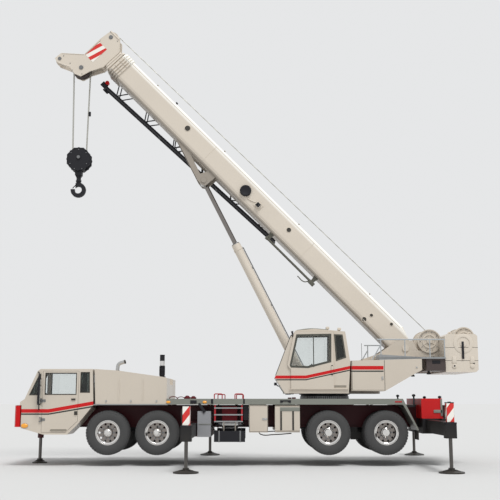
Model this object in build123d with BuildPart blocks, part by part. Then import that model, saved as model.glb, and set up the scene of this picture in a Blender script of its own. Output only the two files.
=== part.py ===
from build123d import *
import os
from math import atan2, cos, degrees, hypot, radians, sin

os.makedirs("parts", exist_ok=True)

# Four-axle truck crane on its outriggers. Millimetres, +X forward, +Y to the driver's left, +Z up.
# z = 0 is the ground under the outrigger floats.

# ---------------------------------------------------------------- driving dimensions
FRONT_X = 5650.0            # front face of the bumper
TAIL_X = -5650.0            # rear face of the counterweight
HALF_WIDTH = 1250.0         # half of the carrier's road width

WHEEL_Z = 790.0             # wheel centres, wheels held clear of the ground
TYRE_R = 530.0              # tyre outer radius
TYRE_W = 290.0              # tyre width
BEAD_R = 286.0              # rim seat radius
TWIN_GAP = 48.0             # space between twin tyres
FRONT_AXLES_X = (3380.0, 2190.0)
REAR_AXLES_X = (-1940.0, -3330.0)
OUTER_Y = HALF_WIDTH - TYRE_W / 2            # middle of an outer tyre
KINGPIN_Y = HALF_WIDTH - 370.0
SIDE_Y = HALF_WIDTH - 10.0                   # outer face of cabs, lockers and tanks
HOOD_Y = HALF_WIDTH - 30.0

RAIL_Y = (330.0, 430.0)     # inner and outer face of a frame rail
RAIL_Z = (900.0, 1440.0)
DECK_Z = 1596.0             # top of the side decks
DECK_EDGE = 138.0           # height of the deck's folded edge

PAD_Y = 3150.0              # float centre to centre line
BEAM_STROKE = 2000.0
JACK_STROKE = 500.0
FLOAT_R = 280.0
BEAM_W = 200.0
BEAM_H = 300.0
FRONT_BEAM_Z = 720.0        # underside of the front beams
REAR_BEAM_Z = 790.0         # underside of the rear beams
NOSE_JACK_X = 5275.0

SWING_X = -1950.0           # swing centre
BEARING_R = 605.0

PIVOT_X = -4002.0           # boom foot pin
PIVOT_Z = 2865.0
BOOM_ANGLE = 45.4
TRUNNION_R = 170.0          # trunnion through the boom's foot
BASE_W = 560.0              # base section width
BASE_H = 660.0              # base section depth
BOOM_MID_N = 30.0           # section centre above the pin line
BOOM_WALL = 10.0
BASE_LEN = 10800.0          # pin to the mouth of the base section
BASE_TOP = BOOM_MID_N + BASE_H / 2
BASE_LOW = BOOM_MID_N - BASE_H / 2
FOOT_Y = BASE_W / 2 + 42.0  # outer face of the foot's bosses
SECTION_STEP = 30.0         # air between one section's wall and the next one in
PAD_PLAY = 0.4              # air between a wear pad and the section it guides

EYE_S = 6798.0              # lift cylinder rod eye, along the boom
EYE_N = -577.0              # and below the pin line
CYL_BASE_X = -1535.0        # lift cylinder foot pin
CYL_BASE_Z = 1900.0

SHEAVE_S = BASE_LEN + 602.0  # lower head sheaves
SHEAVE_N = -747.0
SHEAVE_R = 246.0            # flange radius
ROPE_R = 9.0
HEAD_GROOVE_R = 216.0       # groove the falls run in
BLOCK_GROOVE_R = 171.0
FALLS_Y = (-55.0, 55.0)
BLOCK_PIN_Z = 7960.0        # hook block sheave pin
HOOK_Z = 6883.0             # lowest point of the hook

CAB_Y = (450.0, SIDE_Y)      # both cabs sit left of the boom
SEAT_Y = (CAB_Y[0] + CAB_Y[1]) / 2
CAB_WALL = 40.0

FIT = 0.5                   # air round a sliding beam or rod
SEAT_GAP = 0.3              # air under a piece that is seated
DOOR_GAP = 6.0              # gap round a door

# ---------------------------------------------------------------- derived positions
COS_B = cos(radians(BOOM_ANGLE))
SIN_B = sin(radians(BOOM_ANGLE))


def boom_point(along, above, y=0.0):
    """Point given along and above the boom's pin line."""
    return (PIVOT_X + along * COS_B - above * SIN_B, y, PIVOT_Z + along * SIN_B + above * COS_B)


def slab(x, y, z, mode=Mode.ADD):
    """Box between two limits on each axis."""
    with Locations(((x[0] + x[1]) / 2, (y[0] + y[1]) / 2, (z[0] + z[1]) / 2)):
        Box(x[1] - x[0], y[1] - y[0], z[1] - z[0], mode=mode)


def side_plate(points, y, mode=Mode.ADD):
    """Plate with its outline in X and Z, between two Y limits."""
    with BuildSketch(Plane(origin=(0, y[1], 0), x_dir=(1, 0, 0), z_dir=(0, -1, 0))) as outline:
        with BuildLine():
            Polyline(*points, close=True)
        make_face()
    extrude(outline.sketch, amount=y[1] - y[0], mode=mode)


def cross_plate(points, x, mode=Mode.ADD):
    """Plate with its outline in Y and Z, between two X limits."""
    with BuildSketch(Plane(origin=(x[0], 0, 0), x_dir=(0, 1, 0), z_dir=(1, 0, 0))) as outline:
        with BuildLine():
            Polyline(*points, close=True)
        make_face()
    extrude(outline.sketch, amount=x[1] - x[0], mode=mode)


def flat_plate(points, z, mode=Mode.ADD):
    """Plate with its outline in X and Y, between two Z limits."""
    with BuildSketch(Plane.XY.offset(z[0])) as outline:
        with BuildLine():
            Polyline(*points, close=True)
        make_face()
    extrude(outline.sketch, amount=z[1] - z[0], mode=mode)


def boom_plate(points, y, mode=Mode.ADD):
    """Plate with its outline along and above the boom's pin line, between two Y limits."""
    frame = Plane(origin=(PIVOT_X, y[1], PIVOT_Z), x_dir=(COS_B, 0, SIN_B), z_dir=(0, -1, 0))
    with BuildSketch(frame) as outline:
        with BuildLine():
            Polyline(*points, close=True)
        make_face()
    extrude(outline.sketch, amount=y[1] - y[0], mode=mode)


def boom_box(along, y, above, mode=Mode.ADD):
    """Box squared to the boom."""
    boom_plate(
        [(along[0], above[0]), (along[1], above[0]), (along[1], above[1]), (along[0], above[1])],
        y,
        mode,
    )


def boom_tube(along, width, height, corner, wall, mode=Mode.ADD):
    """Hollow rounded section along the boom."""
    frame = Plane(origin=boom_point(along[0], BOOM_MID_N), x_dir=(0, 1, 0), z_dir=(COS_B, 0, SIN_B))
    with BuildSketch(frame) as outline:
        RectangleRounded(width, height, corner)
        RectangleRounded(width - 2 * wall, height - 2 * wall, corner - wall, mode=Mode.SUBTRACT)
    extrude(outline.sketch, amount=along[1] - along[0], mode=mode)


def bar(start, end, radius, mode=Mode.ADD):
    """Round bar between two points."""
    way = Vector(*end) - Vector(*start)
    with BuildSketch(Plane(origin=start, z_dir=way.normalized())) as outline:
        Circle(radius)
    extrude(outline.sketch, amount=way.length, mode=mode)


def cross_pin(x, z, y, radius, mode=Mode.ADD):
    """Round bar across the vehicle."""
    bar((x, y[0], z), (x, y[1], z), radius, mode)


def ring(x, z, y, outer, inner):
    """Flat ring across the vehicle."""
    with BuildSketch(Plane(origin=(x, y[0], z), z_dir=(0, 1, 0))) as outline:
        Circle(outer)
        Circle(inner, mode=Mode.SUBTRACT)
    extrude(outline.sketch, amount=y[1] - y[0])


def tube_run(points, radius):
    """Bent round tube through a list of points."""
    with BuildLine() as way:
        FilletPolyline(*points, radius=radius * 2.2)
    with BuildSketch(Plane(origin=way.line @ 0, z_dir=way.line % 0)) as outline:
        Circle(radius)
    sweep(outline.sketch, path=way.line)


def spun(points, x, z, mode=Mode.ADD):
    """Solid of revolution about a wheel or drum axis; points are (y, radius)."""
    with BuildSketch(Plane(origin=(x, 0, z), x_dir=(0, 1, 0), z_dir=(1, 0, 0))) as outline:
        with BuildLine():
            Polyline(*points, close=True)
        make_face()
    revolve(outline.sketch, axis=Axis((x, 0, z), (0, 1, 0)), mode=mode)


def spun_up(points, x, y, mode=Mode.ADD):
    """Solid of revolution about an upright axis; points are (radius, z)."""
    with BuildSketch(Plane(origin=(x, y, 0), x_dir=(1, 0, 0), z_dir=(0, -1, 0))) as outline:
        with BuildLine():
            Polyline(*points, close=True)
        make_face()
    revolve(outline.sketch, axis=Axis((x, y, 0), (0, 0, 1)), mode=mode)


def keep(builder, name):
    """Label a finished piece and write it out."""
    builder.part.label = name
    export_step(builder.part, "parts/" + name + ".step")


# ---------------------------------------------------------------- outrigger stations
# name, jack x, side, beam underside z, lowest z of the jack collar
STATIONS = (
    ("front_left", 1350.0, 1, FRONT_BEAM_Z, 672.0),
    ("front_right", 1110.0, -1, FRONT_BEAM_Z, 672.0),
    ("rear_left", -4430.0, 1, REAR_BEAM_Z, 742.0),
    ("rear_right", -4790.0, -1, REAR_BEAM_Z, 742.0),
)
BEAM_INNER_Y = PAD_Y - 2350.0
BOX_HALF = HALF_WIDTH - 250  # outrigger boxes end here where a beam leaves
BAY_END = HALF_WIDTH - 15    # and here at a bay's blind end

# ---------------------------------------------------------------- chassis frame
CROSS_MEMBERS_X = (4750.0, 3900.0, 300.0, -1000.0, -2635.0, -3950.0)
with BuildPart() as chassis_frame:
    for side in (1, -1):
        y0 = min(side * RAIL_Y[0], side * RAIL_Y[1])
        y1 = max(side * RAIL_Y[0], side * RAIL_Y[1])
        web = 0.5 * (y0 + y1)
        cross_plate(
            [
                (y0, RAIL_Z[0]), (y1, RAIL_Z[0]), (y1, RAIL_Z[0] + 24), (web + 12, RAIL_Z[0] + 24),
                (web + 12, RAIL_Z[1] - 24), (y1, RAIL_Z[1] - 24), (y1, RAIL_Z[1]), (y0, RAIL_Z[1]),
                (y0, RAIL_Z[1] - 24), (web - 12, RAIL_Z[1] - 24), (web - 12, RAIL_Z[0] + 24),
                (y0, RAIL_Z[0] + 24),
            ],
            (-4970.0, 5480.0),
        )
    for x in CROSS_MEMBERS_X:
        slab((x - 60, x + 60), (-390, 390), (1180, RAIL_Z[1] - 24))
    # outrigger boxes: each bay is open where its beam leaves and runs to the far side of the deck
    for x0, x1, z0, z1 in ((900, 1490, 690, 1050), (-4970, -4250, 760, 1130)):
        slab((x0, x1), (-BOX_HALF, BOX_HALF), (z0, z1))
    for name, x, side, z, collar in STATIONS:
        slab(
            (x - BEAM_W / 2 - 12, x + BEAM_W / 2 + 11.5), tuple(sorted((-side * BAY_END, 0))),
            (z - 30, z + BEAM_H + 30),
        )
    slab((900, 1222), (430, BAY_END), (690, 1300))
    slab((1238, 1490), (-BAY_END, -430), (690, 1300))
    slab((-4746, -4232), (-BOX_HALF, BOX_HALF), (1130, 1604))
    for name, x, side, z, collar in STATIONS:
        slab(
            (x - BEAM_W / 2 - FIT, x + BEAM_W / 2 + FIT),
            tuple(sorted((-side * (BAY_END - 12), side * (BOX_HALF + 10)))),
            (z - FIT, z + BEAM_H + FIT), mode=Mode.SUBTRACT,
        )
    # swing ring seat, ring and its top bolting face
    slab((SWING_X - 700, SWING_X + 700), (-430, 430), (1424, 1462))
    spun_up([(430, 1462), (690, 1462), (690, 1500), (BEARING_R, 1500), (BEARING_R, 1700), (430, 1700)], SWING_X, 0)
    # nose jack tube behind the bumper
    slab((5100, 5480), (-390, 390), (1300, 1424))
    bar((NOSE_JACK_X, 0, 620), (NOSE_JACK_X, 0, 1300), 75)
    bar((NOSE_JACK_X, 0, 610), (NOSE_JACK_X, 0, 1260), 40 + FIT, mode=Mode.SUBTRACT)
    # engine bearers and the radiator shelf
    for x in (2350.0, 3050.0):
        for side in (1, -1):
            slab((x - 60, x + 60), tuple(sorted((side * 300, side * 385))), (960, 1060))
    # brackets that carry the side lockers and the steps
    for x in (-950.0, -250.0, 330.0):
        for side in (1, -1):
            slab((x - 40, x + 40), tuple(sorted((side * 385, side * 700))), (1280, 1400))
    # cab mounts
    for x in (4500.0, 5200.0):
        slab((x - 50, x + 50), (385, CAB_Y[0]), (960, 1060))
keep(chassis_frame, "chassis_frame")

# ---------------------------------------------------------------- decks
LADDER_X = (130.0, 820.0)   # outer faces of the ladder's posts
with BuildPart() as deck:
    for side in (1, -1):
        inner = sorted((side * 440, side * HALF_WIDTH))
        edge = sorted((side * (HALF_WIDTH - 25), side * HALF_WIDTH))
        slab((-3723, 1964), tuple(inner), (DECK_Z - 12, DECK_Z))
        slab((-3723, 1964), tuple(edge), (DECK_Z - DECK_EDGE, DECK_Z - 12))
        slab((1964, 3740), tuple(inner), (1446, 1469))
        slab((1940, 1964), tuple(inner), (1446, DECK_Z - 12))
        slab((-3747, -3723), tuple(inner), (1452, DECK_Z))
        side_plate([(-3747, 1452), (-3747, 1596), (-4110, 860), (-4080, 845)], tuple(inner))
        slab((-3747, -3700), tuple(sorted((side * 390, side * 440))), (1440, DECK_Z))
    slab((-4225, -3723), (-440, 440), (RAIL_Z[1], RAIL_Z[1] + 12))
    slab((-1200, 1964), (-440, 440), (DECK_Z - 12, DECK_Z))
    slab((-3747, -2700), (-440, 440), (DECK_Z - 12, DECK_Z))
    for x in (1900.0, 300.0, -1000.0, -3100.0):
        for side in (1, -1):
            slab((x - 30, x + 30), tuple(sorted((side * 340, side * 420))), (RAIL_Z[1], DECK_Z - 12))
    spun_up([(0, 1400), (730, 1400), (730, 1700), (0, 1700)], SWING_X, 0, mode=Mode.SUBTRACT)
    slab((3680, 5470), (-SIDE_Y, CAB_Y[0] - 10), (1440, 1469))
    slab((5440, 5470), (-SIDE_Y, -440), (960, 1440))
    for side in (1, -1):
        # mudflap behind the last tyre
        slab((-4106, -4090), tuple(sorted((side * (SIDE_Y - 460), side * SIDE_Y))), (620, 870))
        # grab rails either side of the ladder
        y = side * (SIDE_Y - 25)
        for x in LADDER_X:
            inboard = x + 190 if x < sum(LADDER_X) / 2 else x - 190
            tube_run([(x, y, DECK_Z - 6), (x, y, 1712), (inboard, y, 1712), (inboard, y, DECK_Z - 6)], 13)
keep(deck, "deck")

# ---------------------------------------------------------------- bumper
with BuildPart() as bumper:
    flat_plate(
        [
            (5500, -HALF_WIDTH), (5600, -HALF_WIDTH), (FRONT_X, 100 - HALF_WIDTH), (FRONT_X, HALF_WIDTH - 100),
            (5600, HALF_WIDTH), (5500, HALF_WIDTH),
        ],
        (925, 1434),
    )
    slab((5480, 5500), (-390, 390), (980, 1400))
    for side in (1, -1):
        slab((FRONT_X - 30, FRONT_X + 5), tuple(sorted((side * (HALF_WIDTH - 450), side * (HALF_WIDTH - 170)))), (1150, 1330), mode=Mode.SUBTRACT)
keep(bumper, "bumper")

# ---------------------------------------------------------------- carrier cab
CARRIER_OUTLINE = [
    (3785, 2311), (3746, 1446), (4130, 971), (4358, 747), (4932, 747), (5478, 900), (5478, 1440),
    (5518, 1446), (5518, 1518), (5412, 1589), (5120, 2262), (5050, 2311),
]
CARRIER_INNER = [
    (3826, 2271), (3788, 1462), (4162, 995), (4376, 787), (4927, 787), (5438, 930), (5438, 1470),
    (5438, 1500), (5375, 1572), (5082, 2242), (5040, 2271),
]
HINGE_X = 4988.0
HINGE_Y = CAB_Y[1] + 20
HINGE_Z = (1100.0, 1550.0)
with BuildPart() as carrier_cab:
    side_plate(CARRIER_OUTLINE, CAB_Y)
    side_plate(CARRIER_INNER, (CAB_Y[0] + CAB_WALL, CAB_Y[1] - CAB_WALL), mode=Mode.SUBTRACT)
    # windscreen opening
    side_plate([(5470, 1640), (5300, 1640), (5020, 2210), (5200, 2215)], (CAB_Y[0] + 70, CAB_Y[1] - 70), mode=Mode.SUBTRACT)
    # rear window
    slab((3740, 3860), (CAB_Y[0] + 150, CAB_Y[1] - 150), (1720, 2180), mode=Mode.SUBTRACT)
    # quarter window and front corner window, both sides
    for y in ((CAB_Y[1] - CAB_WALL - 5, CAB_Y[1] + 5), (CAB_Y[0] - 5, CAB_Y[0] + CAB_WALL + 5)):
        side_plate([(3835, 1740), (4075, 1740), (4075, 2238), (3850, 2238)], y, mode=Mode.SUBTRACT)
        side_plate([(5030, 1680), (5310, 1680), (5075, 2190), (5030, 2200)], y, mode=Mode.SUBTRACT)
    # inboard side window
    slab((4150, 4950), (CAB_Y[0] - 5, CAB_Y[0] + CAB_WALL + 5), (1690, 2238), mode=Mode.SUBTRACT)
    # doorway
    side_plate(
        [(4113, 1060), (4400, 790), (4985, 790), (4985, 2262), (4113, 2262)],
        (CAB_Y[1] - CAB_WALL - 5, CAB_Y[1] + 5),
        mode=Mode.SUBTRACT,
    )
    # door hinge ears, above and below each knuckle
    for z in HINGE_Z:
        for z0, z1 in ((z - 55, z - 30 - SEAT_GAP), (z + 30 + SEAT_GAP, z + 55)):
            slab((HINGE_X, HINGE_X + 52), (CAB_Y[1], HINGE_Y + 14), (z0, z1))
            bar((HINGE_X, HINGE_Y, z0), (HINGE_X, HINGE_Y, z1), 14)
        bar((HINGE_X, HINGE_Y, z - 55), (HINGE_X, HINGE_Y, z + 55), 8)
    # mirror head on two arms
    slab((5012, 5062), (CAB_Y[1] + 40, CAB_Y[1] + 190), (1450, 2080))
    tube_run([(5110, CAB_Y[1] - 10, 2240), (5060, CAB_Y[1] + 100, 2220), (5036, CAB_Y[1] + 110, 2070)], 12)
    tube_run([(5060, CAB_Y[1] - 10, 1330), (5036, CAB_Y[1] + 100, 1340), (5036, CAB_Y[1] + 110, 1460)], 12)
keep(carrier_cab, "carrier_cab")

with BuildPart() as carrier_glass:
    side_plate([(5384, 1640), (5376, 1640), (5127, 2212.7), (5135, 2212.7)], (CAB_Y[0] + 70, CAB_Y[1] - 70))
    slab((3800, 3806), (CAB_Y[0] + 150, CAB_Y[1] - 150), (1720, 2180))
    for y in ((CAB_Y[1] - 22, CAB_Y[1] - 16), (CAB_Y[0] + 16, CAB_Y[0] + 22)):
        side_plate([(3835, 1740), (4075, 1740), (4075, 2238), (3850, 2238)], y)
        side_plate([(5030, 1680), (5310, 1680), (5075, 2190), (5030, 2200)], y)
    slab((4150, 4950), (CAB_Y[0] + 16, CAB_Y[0] + 22), (1690, 2238))
keep(carrier_glass, "carrier_glass")

with BuildPart() as carrier_door:
    side_plate(
        [
            (4113 + DOOR_GAP, 1060 + DOOR_GAP), (4402, 790 + DOOR_GAP), (4985 - DOOR_GAP, 790 + DOOR_GAP),
            (4985 - DOOR_GAP, 2262 - DOOR_GAP), (4113 + DOOR_GAP, 2262 - DOOR_GAP),
        ],
        (CAB_Y[1] - CAB_WALL, CAB_Y[1]),
    )
    slab((4160, 4930), (CAB_Y[1] - CAB_WALL - 5, CAB_Y[1] + 5), (1690, 2220), mode=Mode.SUBTRACT)
    slab((4180, 4280), (CAB_Y[1], CAB_Y[1] + 18), (1560, 1600))
    for z in HINGE_Z:
        slab((4900, 4970), (CAB_Y[1] - 2, CAB_Y[1] + 8), (z - 30, z + 30))
        slab((4960, HINGE_X), (CAB_Y[1] + SEAT_GAP, CAB_Y[1] + 8), (z - 30, z + 30))
        bar((HINGE_X, HINGE_Y, z - 30), (HINGE_X, HINGE_Y, z + 30), 15)
        bar((HINGE_X, HINGE_Y, z - 40), (HINGE_X, HINGE_Y, z + 40), 8 + FIT, mode=Mode.SUBTRACT)
    slab((4160.5, 4929.5), (CAB_Y[1] - 23, CAB_Y[1] - 17), (1690.5, 2219.5))
keep(carrier_door, "carrier_door")

with BuildPart() as carrier_interior:
    # seat on its box
    slab((4390, 4640), (SEAT_Y - 150, SEAT_Y + 150), (787, 1180))
    side_plate(
        [(4190, 1180), (4700, 1180), (4700, 1300), (4280, 1290), (4110, 1960), (4020, 1950), (4170, 1290)],
        (SEAT_Y - 240, SEAT_Y + 240),
    )
    # dash, column and wheel
    side_plate([(5130, 850), (5430, 935), (5430, 1500), (5370, 1570), (5180, 1560), (5130, 1400)], (CAB_Y[0] + CAB_WALL, CAB_Y[1] - CAB_WALL))
    bar((5230, SEAT_Y, 1390), (4940, SEAT_Y, 1615.6), 28)
    with BuildSketch(Plane(origin=(4950, SEAT_Y, 1607), z_dir=(-180, 0, 140))) as hoop:
        Circle(215)
        Circle(190, mode=Mode.SUBTRACT)
        Rectangle(400, 30)
    extrude(hoop.sketch, amount=24)
keep(carrier_interior, "carrier_interior")

# ---------------------------------------------------------------- hood
HOOD_FOOT_Z = 1469.0 + SEAT_GAP
HOOD_TOP = [(3700, HOOD_FOOT_Z), (3740, 2311), (3174, 2274), (2050, 2117), (1976, 2093), (1976, HOOD_FOOT_Z)]
STACK_FOOT_Z = 2150.0
with BuildPart() as hood:
    side_plate(HOOD_TOP, (-HOOD_Y, HOOD_Y))
    slab((1900, 3800), (-430, 430), (1950, 2400), mode=Mode.SUBTRACT)
    side_plate([(3665, 1460), (3705, 2271), (3174, 2244), (2050, 2087), (2006, 2066), (2006, 1460)], (460, HOOD_Y - 30), mode=Mode.SUBTRACT)
    side_plate([(3665, 1460), (3705, 2271), (3174, 2244), (2050, 2087), (2006, 2066), (2006, 1460)], (30 - HOOD_Y, -460), mode=Mode.SUBTRACT)
    slab((2006, 3665), (-460, 460), (1460, 1920), mode=Mode.SUBTRACT)
    slab((3650, 3800), (70 - HOOD_Y, -500), (1560, 2200), mode=Mode.SUBTRACT)
    for z in range(1590, 2190, 90):
        x = 3700 + 40 * (z - HOOD_FOOT_Z) / (2311 - HOOD_FOOT_Z)
        slab((x - 30, x - 10), (60 - HOOD_Y, -490), (z, z + 40))
    bar((2155, 620, 2100), (2155, 620, STACK_FOOT_Z), 85)
    # air intake bends back over the hood
    tube_run([(3235, 900, 2255), (3220, 900, 2450), (3050, 900, 2500)], 45)
    # hinge strips between the side doors
    for x in (2560.0, 3140.0):
        for side in (1, -1):
            slab((x - 12, x + 12), tuple(sorted((side * (HOOD_Y - 4), side * (HOOD_Y + 10)))), (1560, 2060))
keep(hood, "hood")

# ---------------------------------------------------------------- drivetrain and exhaust
with BuildPart() as drivetrain:
    slab((2080, 3250), (-300, 300), (800, 1750))
    bar((1560, 0, 1220), (2080, 0, 1220), 190)
    bar((-1735, 0, 850), (1560, 0, 1210), 48)
    slab((3400, 3520), (-300, 300), (1200, 1850))
    bar((3250, 0, 1300), (3400, 0, 1300), 60)
    bar((2155, 620, STACK_FOOT_Z + SEAT_GAP), (2155, 620, 2680), 60)
keep(drivetrain, "drivetrain")

# ---------------------------------------------------------------- side lockers, tanks and steps
with BuildPart() as side_equipment:
    for side in (1, -1):
        outer = side * SIDE_Y
        # tool locker, fuel tank with its straps, and the battery box beside the locker
        slab((-478, -21), tuple(sorted((side * 700, outer))), (796, 1446))
        slab((-25, 112), tuple(sorted((side * 900, outer - side * 60))), (1090, 1440))
        cross_plate(
            [(side * 700, 796), (outer - side * 50, 796), (outer, 846), (outer, 1396), (outer - side * 50, 1446), (side * 700, 1446)],
            (-1247, -649),
        )
        for x in (-795.0, -1085.0):
            slab((x - 22, x + 22), tuple(sorted((outer - side * 30, outer + side * 6))), (846, 1396))
        bar((-1086, outer - side * 110, 1440), (-1086, outer - side * 110, 1452), 60)
        # ladder with its treads
        slab((268, 634), tuple(sorted((side * 700, side * 1100))), (1070, 1420))
        for x in (LADDER_X[0] + 20, LADDER_X[1] - 20):
            slab((x - 20, x + 20), tuple(sorted((outer - side * 50, outer - side * 10))), (1045, 1450))
        for z in (1040.0, 1200.0, 1360.0):
            slab((LADDER_X[0], LADDER_X[1]), tuple(sorted((outer - side * 60, outer))), (z, z + 30))
        for x in (310.0, 590.0):
            slab((x - 20, x + 20), tuple(sorted((side * 1090, outer - side * 30))), (1205, 1225))
            slab((x - 12, x + 12), tuple(sorted((side * 780, side * 1095))), (825, 1080))
        # silencer above the air tank
        bar((244, side * 985, 984), (634, side * 985, 984), 83)
        for x in (280.0, 600.0):
            bar((x - 12, side * 985, 984), (x + 12, side * 985, 984), 90)
        slab((75, 821), tuple(sorted((side * 760, outer))), (572, 831))
keep(side_equipment, "side_equipment")

# ---------------------------------------------------------------- axles and suspension
with BuildPart() as axles:
    for x in FRONT_AXLES_X:
        slab((x - 55, x + 55), (180 - KINGPIN_Y, KINGPIN_Y - 180), (600, 720))
        for side in (1, -1):
            side_plate(
                [(x - 620, 898), (x - 560, RAIL_Z[0]), (x - 500, RAIL_Z[0]), (x, 790), (x + 500, RAIL_Z[0]),
                 (x + 560, RAIL_Z[0]), (x + 620, 898), (x, 720)],
                tuple(sorted((side * 340, side * 420))),
            )
            cross_plate(
                [
                    (side * (KINGPIN_Y - 180), 600), (side * (KINGPIN_Y - 85), 694), (side * (KINGPIN_Y - 20), 700),
                    (side * (KINGPIN_Y - 20), 820), (side * (KINGPIN_Y - 80), 830), (side * (KINGPIN_Y - 180), 720),
                ],
                (x - 55, x + 55),
            )
            bar((x, side * KINGPIN_Y, 690), (x, side * KINGPIN_Y, 890), 50)
            bar((x, side * KINGPIN_Y, 680), (x, side * KINGPIN_Y, 900), 20 + FIT, mode=Mode.SUBTRACT)
    for x in REAR_AXLES_X:
        cross_pin(x, WHEEL_Z, (495 - OUTER_Y, OUTER_Y - 495), 75)
        spun([(-200, 0), (-200, 120), (-110, 200), (110, 200), (200, 120), (200, 0)], x, WHEEL_Z)
        cross_pin(x, WHEEL_Z, (25 - OUTER_Y, OUTER_Y - 25), 50)
    bar((REAR_AXLES_X[1] + 100, 0, 830), (REAR_AXLES_X[0] - 100, 0, 830), 45)
    for side in (1, -1):
        slab((REAR_AXLES_X[1], REAR_AXLES_X[0]), tuple(sorted((side * 470, side * 540))), (640, 780))
        slab((-2720, -2550), tuple(sorted((side * 390, side * 520))), (600, RAIL_Z[0]))
keep(axles, "axles")

# ---------------------------------------------------------------- steering knuckles
# name, axle x, side
KNUCKLES = (
    ("front_left", FRONT_AXLES_X[0], 1),
    ("front_right", FRONT_AXLES_X[0], -1),
    ("second_left", FRONT_AXLES_X[1], 1),
    ("second_right", FRONT_AXLES_X[1], -1),
)
for name, x, side in KNUCKLES:
    with BuildPart() as knuckle:
        for z0, z1 in ((650, 690 - SEAT_GAP), (890 + SEAT_GAP, 930)):
            slab((x - 50, x + 50), tuple(sorted((side * (KINGPIN_Y - 50), side * (KINGPIN_Y + 80)))), (z0, z1))
        slab((x - 50, x + 50), tuple(sorted((side * (KINGPIN_Y + 56), side * (KINGPIN_Y + 80)))), (650, 930))
        bar((x, side * KINGPIN_Y, 650), (x, side * KINGPIN_Y, 930), 20)
        cross_pin(x, WHEEL_Z, tuple(sorted((side * (KINGPIN_Y + 70), side * (OUTER_Y + 45)))), 40)
    keep(knuckle, name + "_knuckle")

# ---------------------------------------------------------------- wheels
# name, axle x, side, twin
WHEELS = (
    ("front_left", FRONT_AXLES_X[0], 1, False),
    ("front_right", FRONT_AXLES_X[0], -1, False),
    ("second_left", FRONT_AXLES_X[1], 1, False),
    ("second_right", FRONT_AXLES_X[1], -1, False),
    ("third_left", REAR_AXLES_X[0], 1, True),
    ("third_right", REAR_AXLES_X[0], -1, True),
    ("fourth_left", REAR_AXLES_X[1], 1, True),
    ("fourth_right", REAR_AXLES_X[1], -1, True),
)
TWIN_PITCH = TYRE_W + TWIN_GAP


def tyre_ring(x, mid):
    half = TYRE_W / 2
    spun(
        [
            (mid - half + 22, BEAD_R + SEAT_GAP), (mid - half, BEAD_R + 110), (mid - half + 30, TYRE_R - 6),
            (mid, TYRE_R), (mid + half - 30, TYRE_R - 6), (mid + half, BEAD_R + 110),
            (mid + half - 22, BEAD_R + SEAT_GAP),
        ],
        x,
        WHEEL_Z,
    )


for name, x, side, twin in WHEELS:
    mid = side * OUTER_Y
    with BuildPart() as tyre:
        tyre_ring(x, mid)
        if twin:
            tyre_ring(x, side * (OUTER_Y - TWIN_PITCH))
    keep(tyre, name + "_tyre")
    with BuildPart() as rim:
        inner = OUTER_Y - (TWIN_PITCH if twin else 0) - TYRE_W / 2 + 15
        outer = OUTER_Y + TYRE_W / 2 - 15
        disc = OUTER_Y - 60 if twin else OUTER_Y + 75
        bore = (50 if twin else 40) + FIT
        hub = OUTER_Y + (35 if twin else 110)
        spun(
            [
                (side * inner, BEAD_R - 14), (side * inner, BEAD_R), (side * outer, BEAD_R),
                (side * outer, BEAD_R - 14), (side * (disc + 8), BEAD_R - 14), (side * disc, 120),
                (side * hub, 110), (side * hub, 0), (side * (disc - 60), 0), (side * (disc - 60), 110),
                (side * (disc - 12), 120), (side * (disc - 8), BEAD_R - 14),
            ],
            x,
            WHEEL_Z,
        )
        cross_pin(x, WHEEL_Z, tuple(sorted((side * (OUTER_Y - (465 if twin else 135)), side * (disc - 59)))), 110)
        cross_pin(
            x, WHEEL_Z,
            tuple(sorted((side * (OUTER_Y - 24 if twin else OUTER_Y + 46), side * (OUTER_Y - 505)))), bore, mode=Mode.SUBTRACT,
        )
        for turn in range(10):
            a = radians(36 * turn)
            cross_pin(
                x + 205 * cos(a), WHEEL_Z + 205 * sin(a),
                tuple(sorted((side * (disc - 40), side * (disc + 40)))), 27, mode=Mode.SUBTRACT,
            )
    keep(rim, name + "_rim")

# ---------------------------------------------------------------- outrigger beams and jacks
for name, x, side, z, collar in STATIONS:
    with BuildPart() as beam:
        slab((x - BEAM_W / 2, x + BEAM_W / 2), tuple(sorted((side * BEAM_INNER_Y, side * 3040))), (z, z + BEAM_H))
        slab(
            (x - BEAM_W / 2 + 14, x + BEAM_W / 2 - 14), tuple(sorted((side * (BEAM_INNER_Y - 5), side * 3000))),
            (z + 14, z + BEAM_H - 14), mode=Mode.SUBTRACT,
        )
        slab((x - 120, x + 120), tuple(sorted((side * 3030, side * 3270))), (collar, collar + 343))
        slab((x - 80, x + 80), tuple(sorted((side * 3070, side * 3230))), (collar + 343, collar + 765))
        bar((x, side * PAD_Y, collar - 10), (x, side * PAD_Y, collar + 720), 40 + FIT, mode=Mode.SUBTRACT)
    keep(beam, name + "_beam")

# name, x, y, top of the rod
JACKS = tuple((name, x, side * PAD_Y, collar + 200, FLOAT_R) for name, x, side, z, collar in STATIONS)
JACKS = JACKS + (("nose", NOSE_JACK_X, 0.0, 740.0, 185.0),)
for name, x, y, top, radius in JACKS:
    with BuildPart() as jack:
        bar((x, y, 60), (x, y, top), 40)
        spun_up([(0, 0), (radius, 0), (radius, 28), (radius * 0.55, 50), (70, 60), (70, 110), (0, 110)], x, y)
    keep(jack, name + "_jack")

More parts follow.
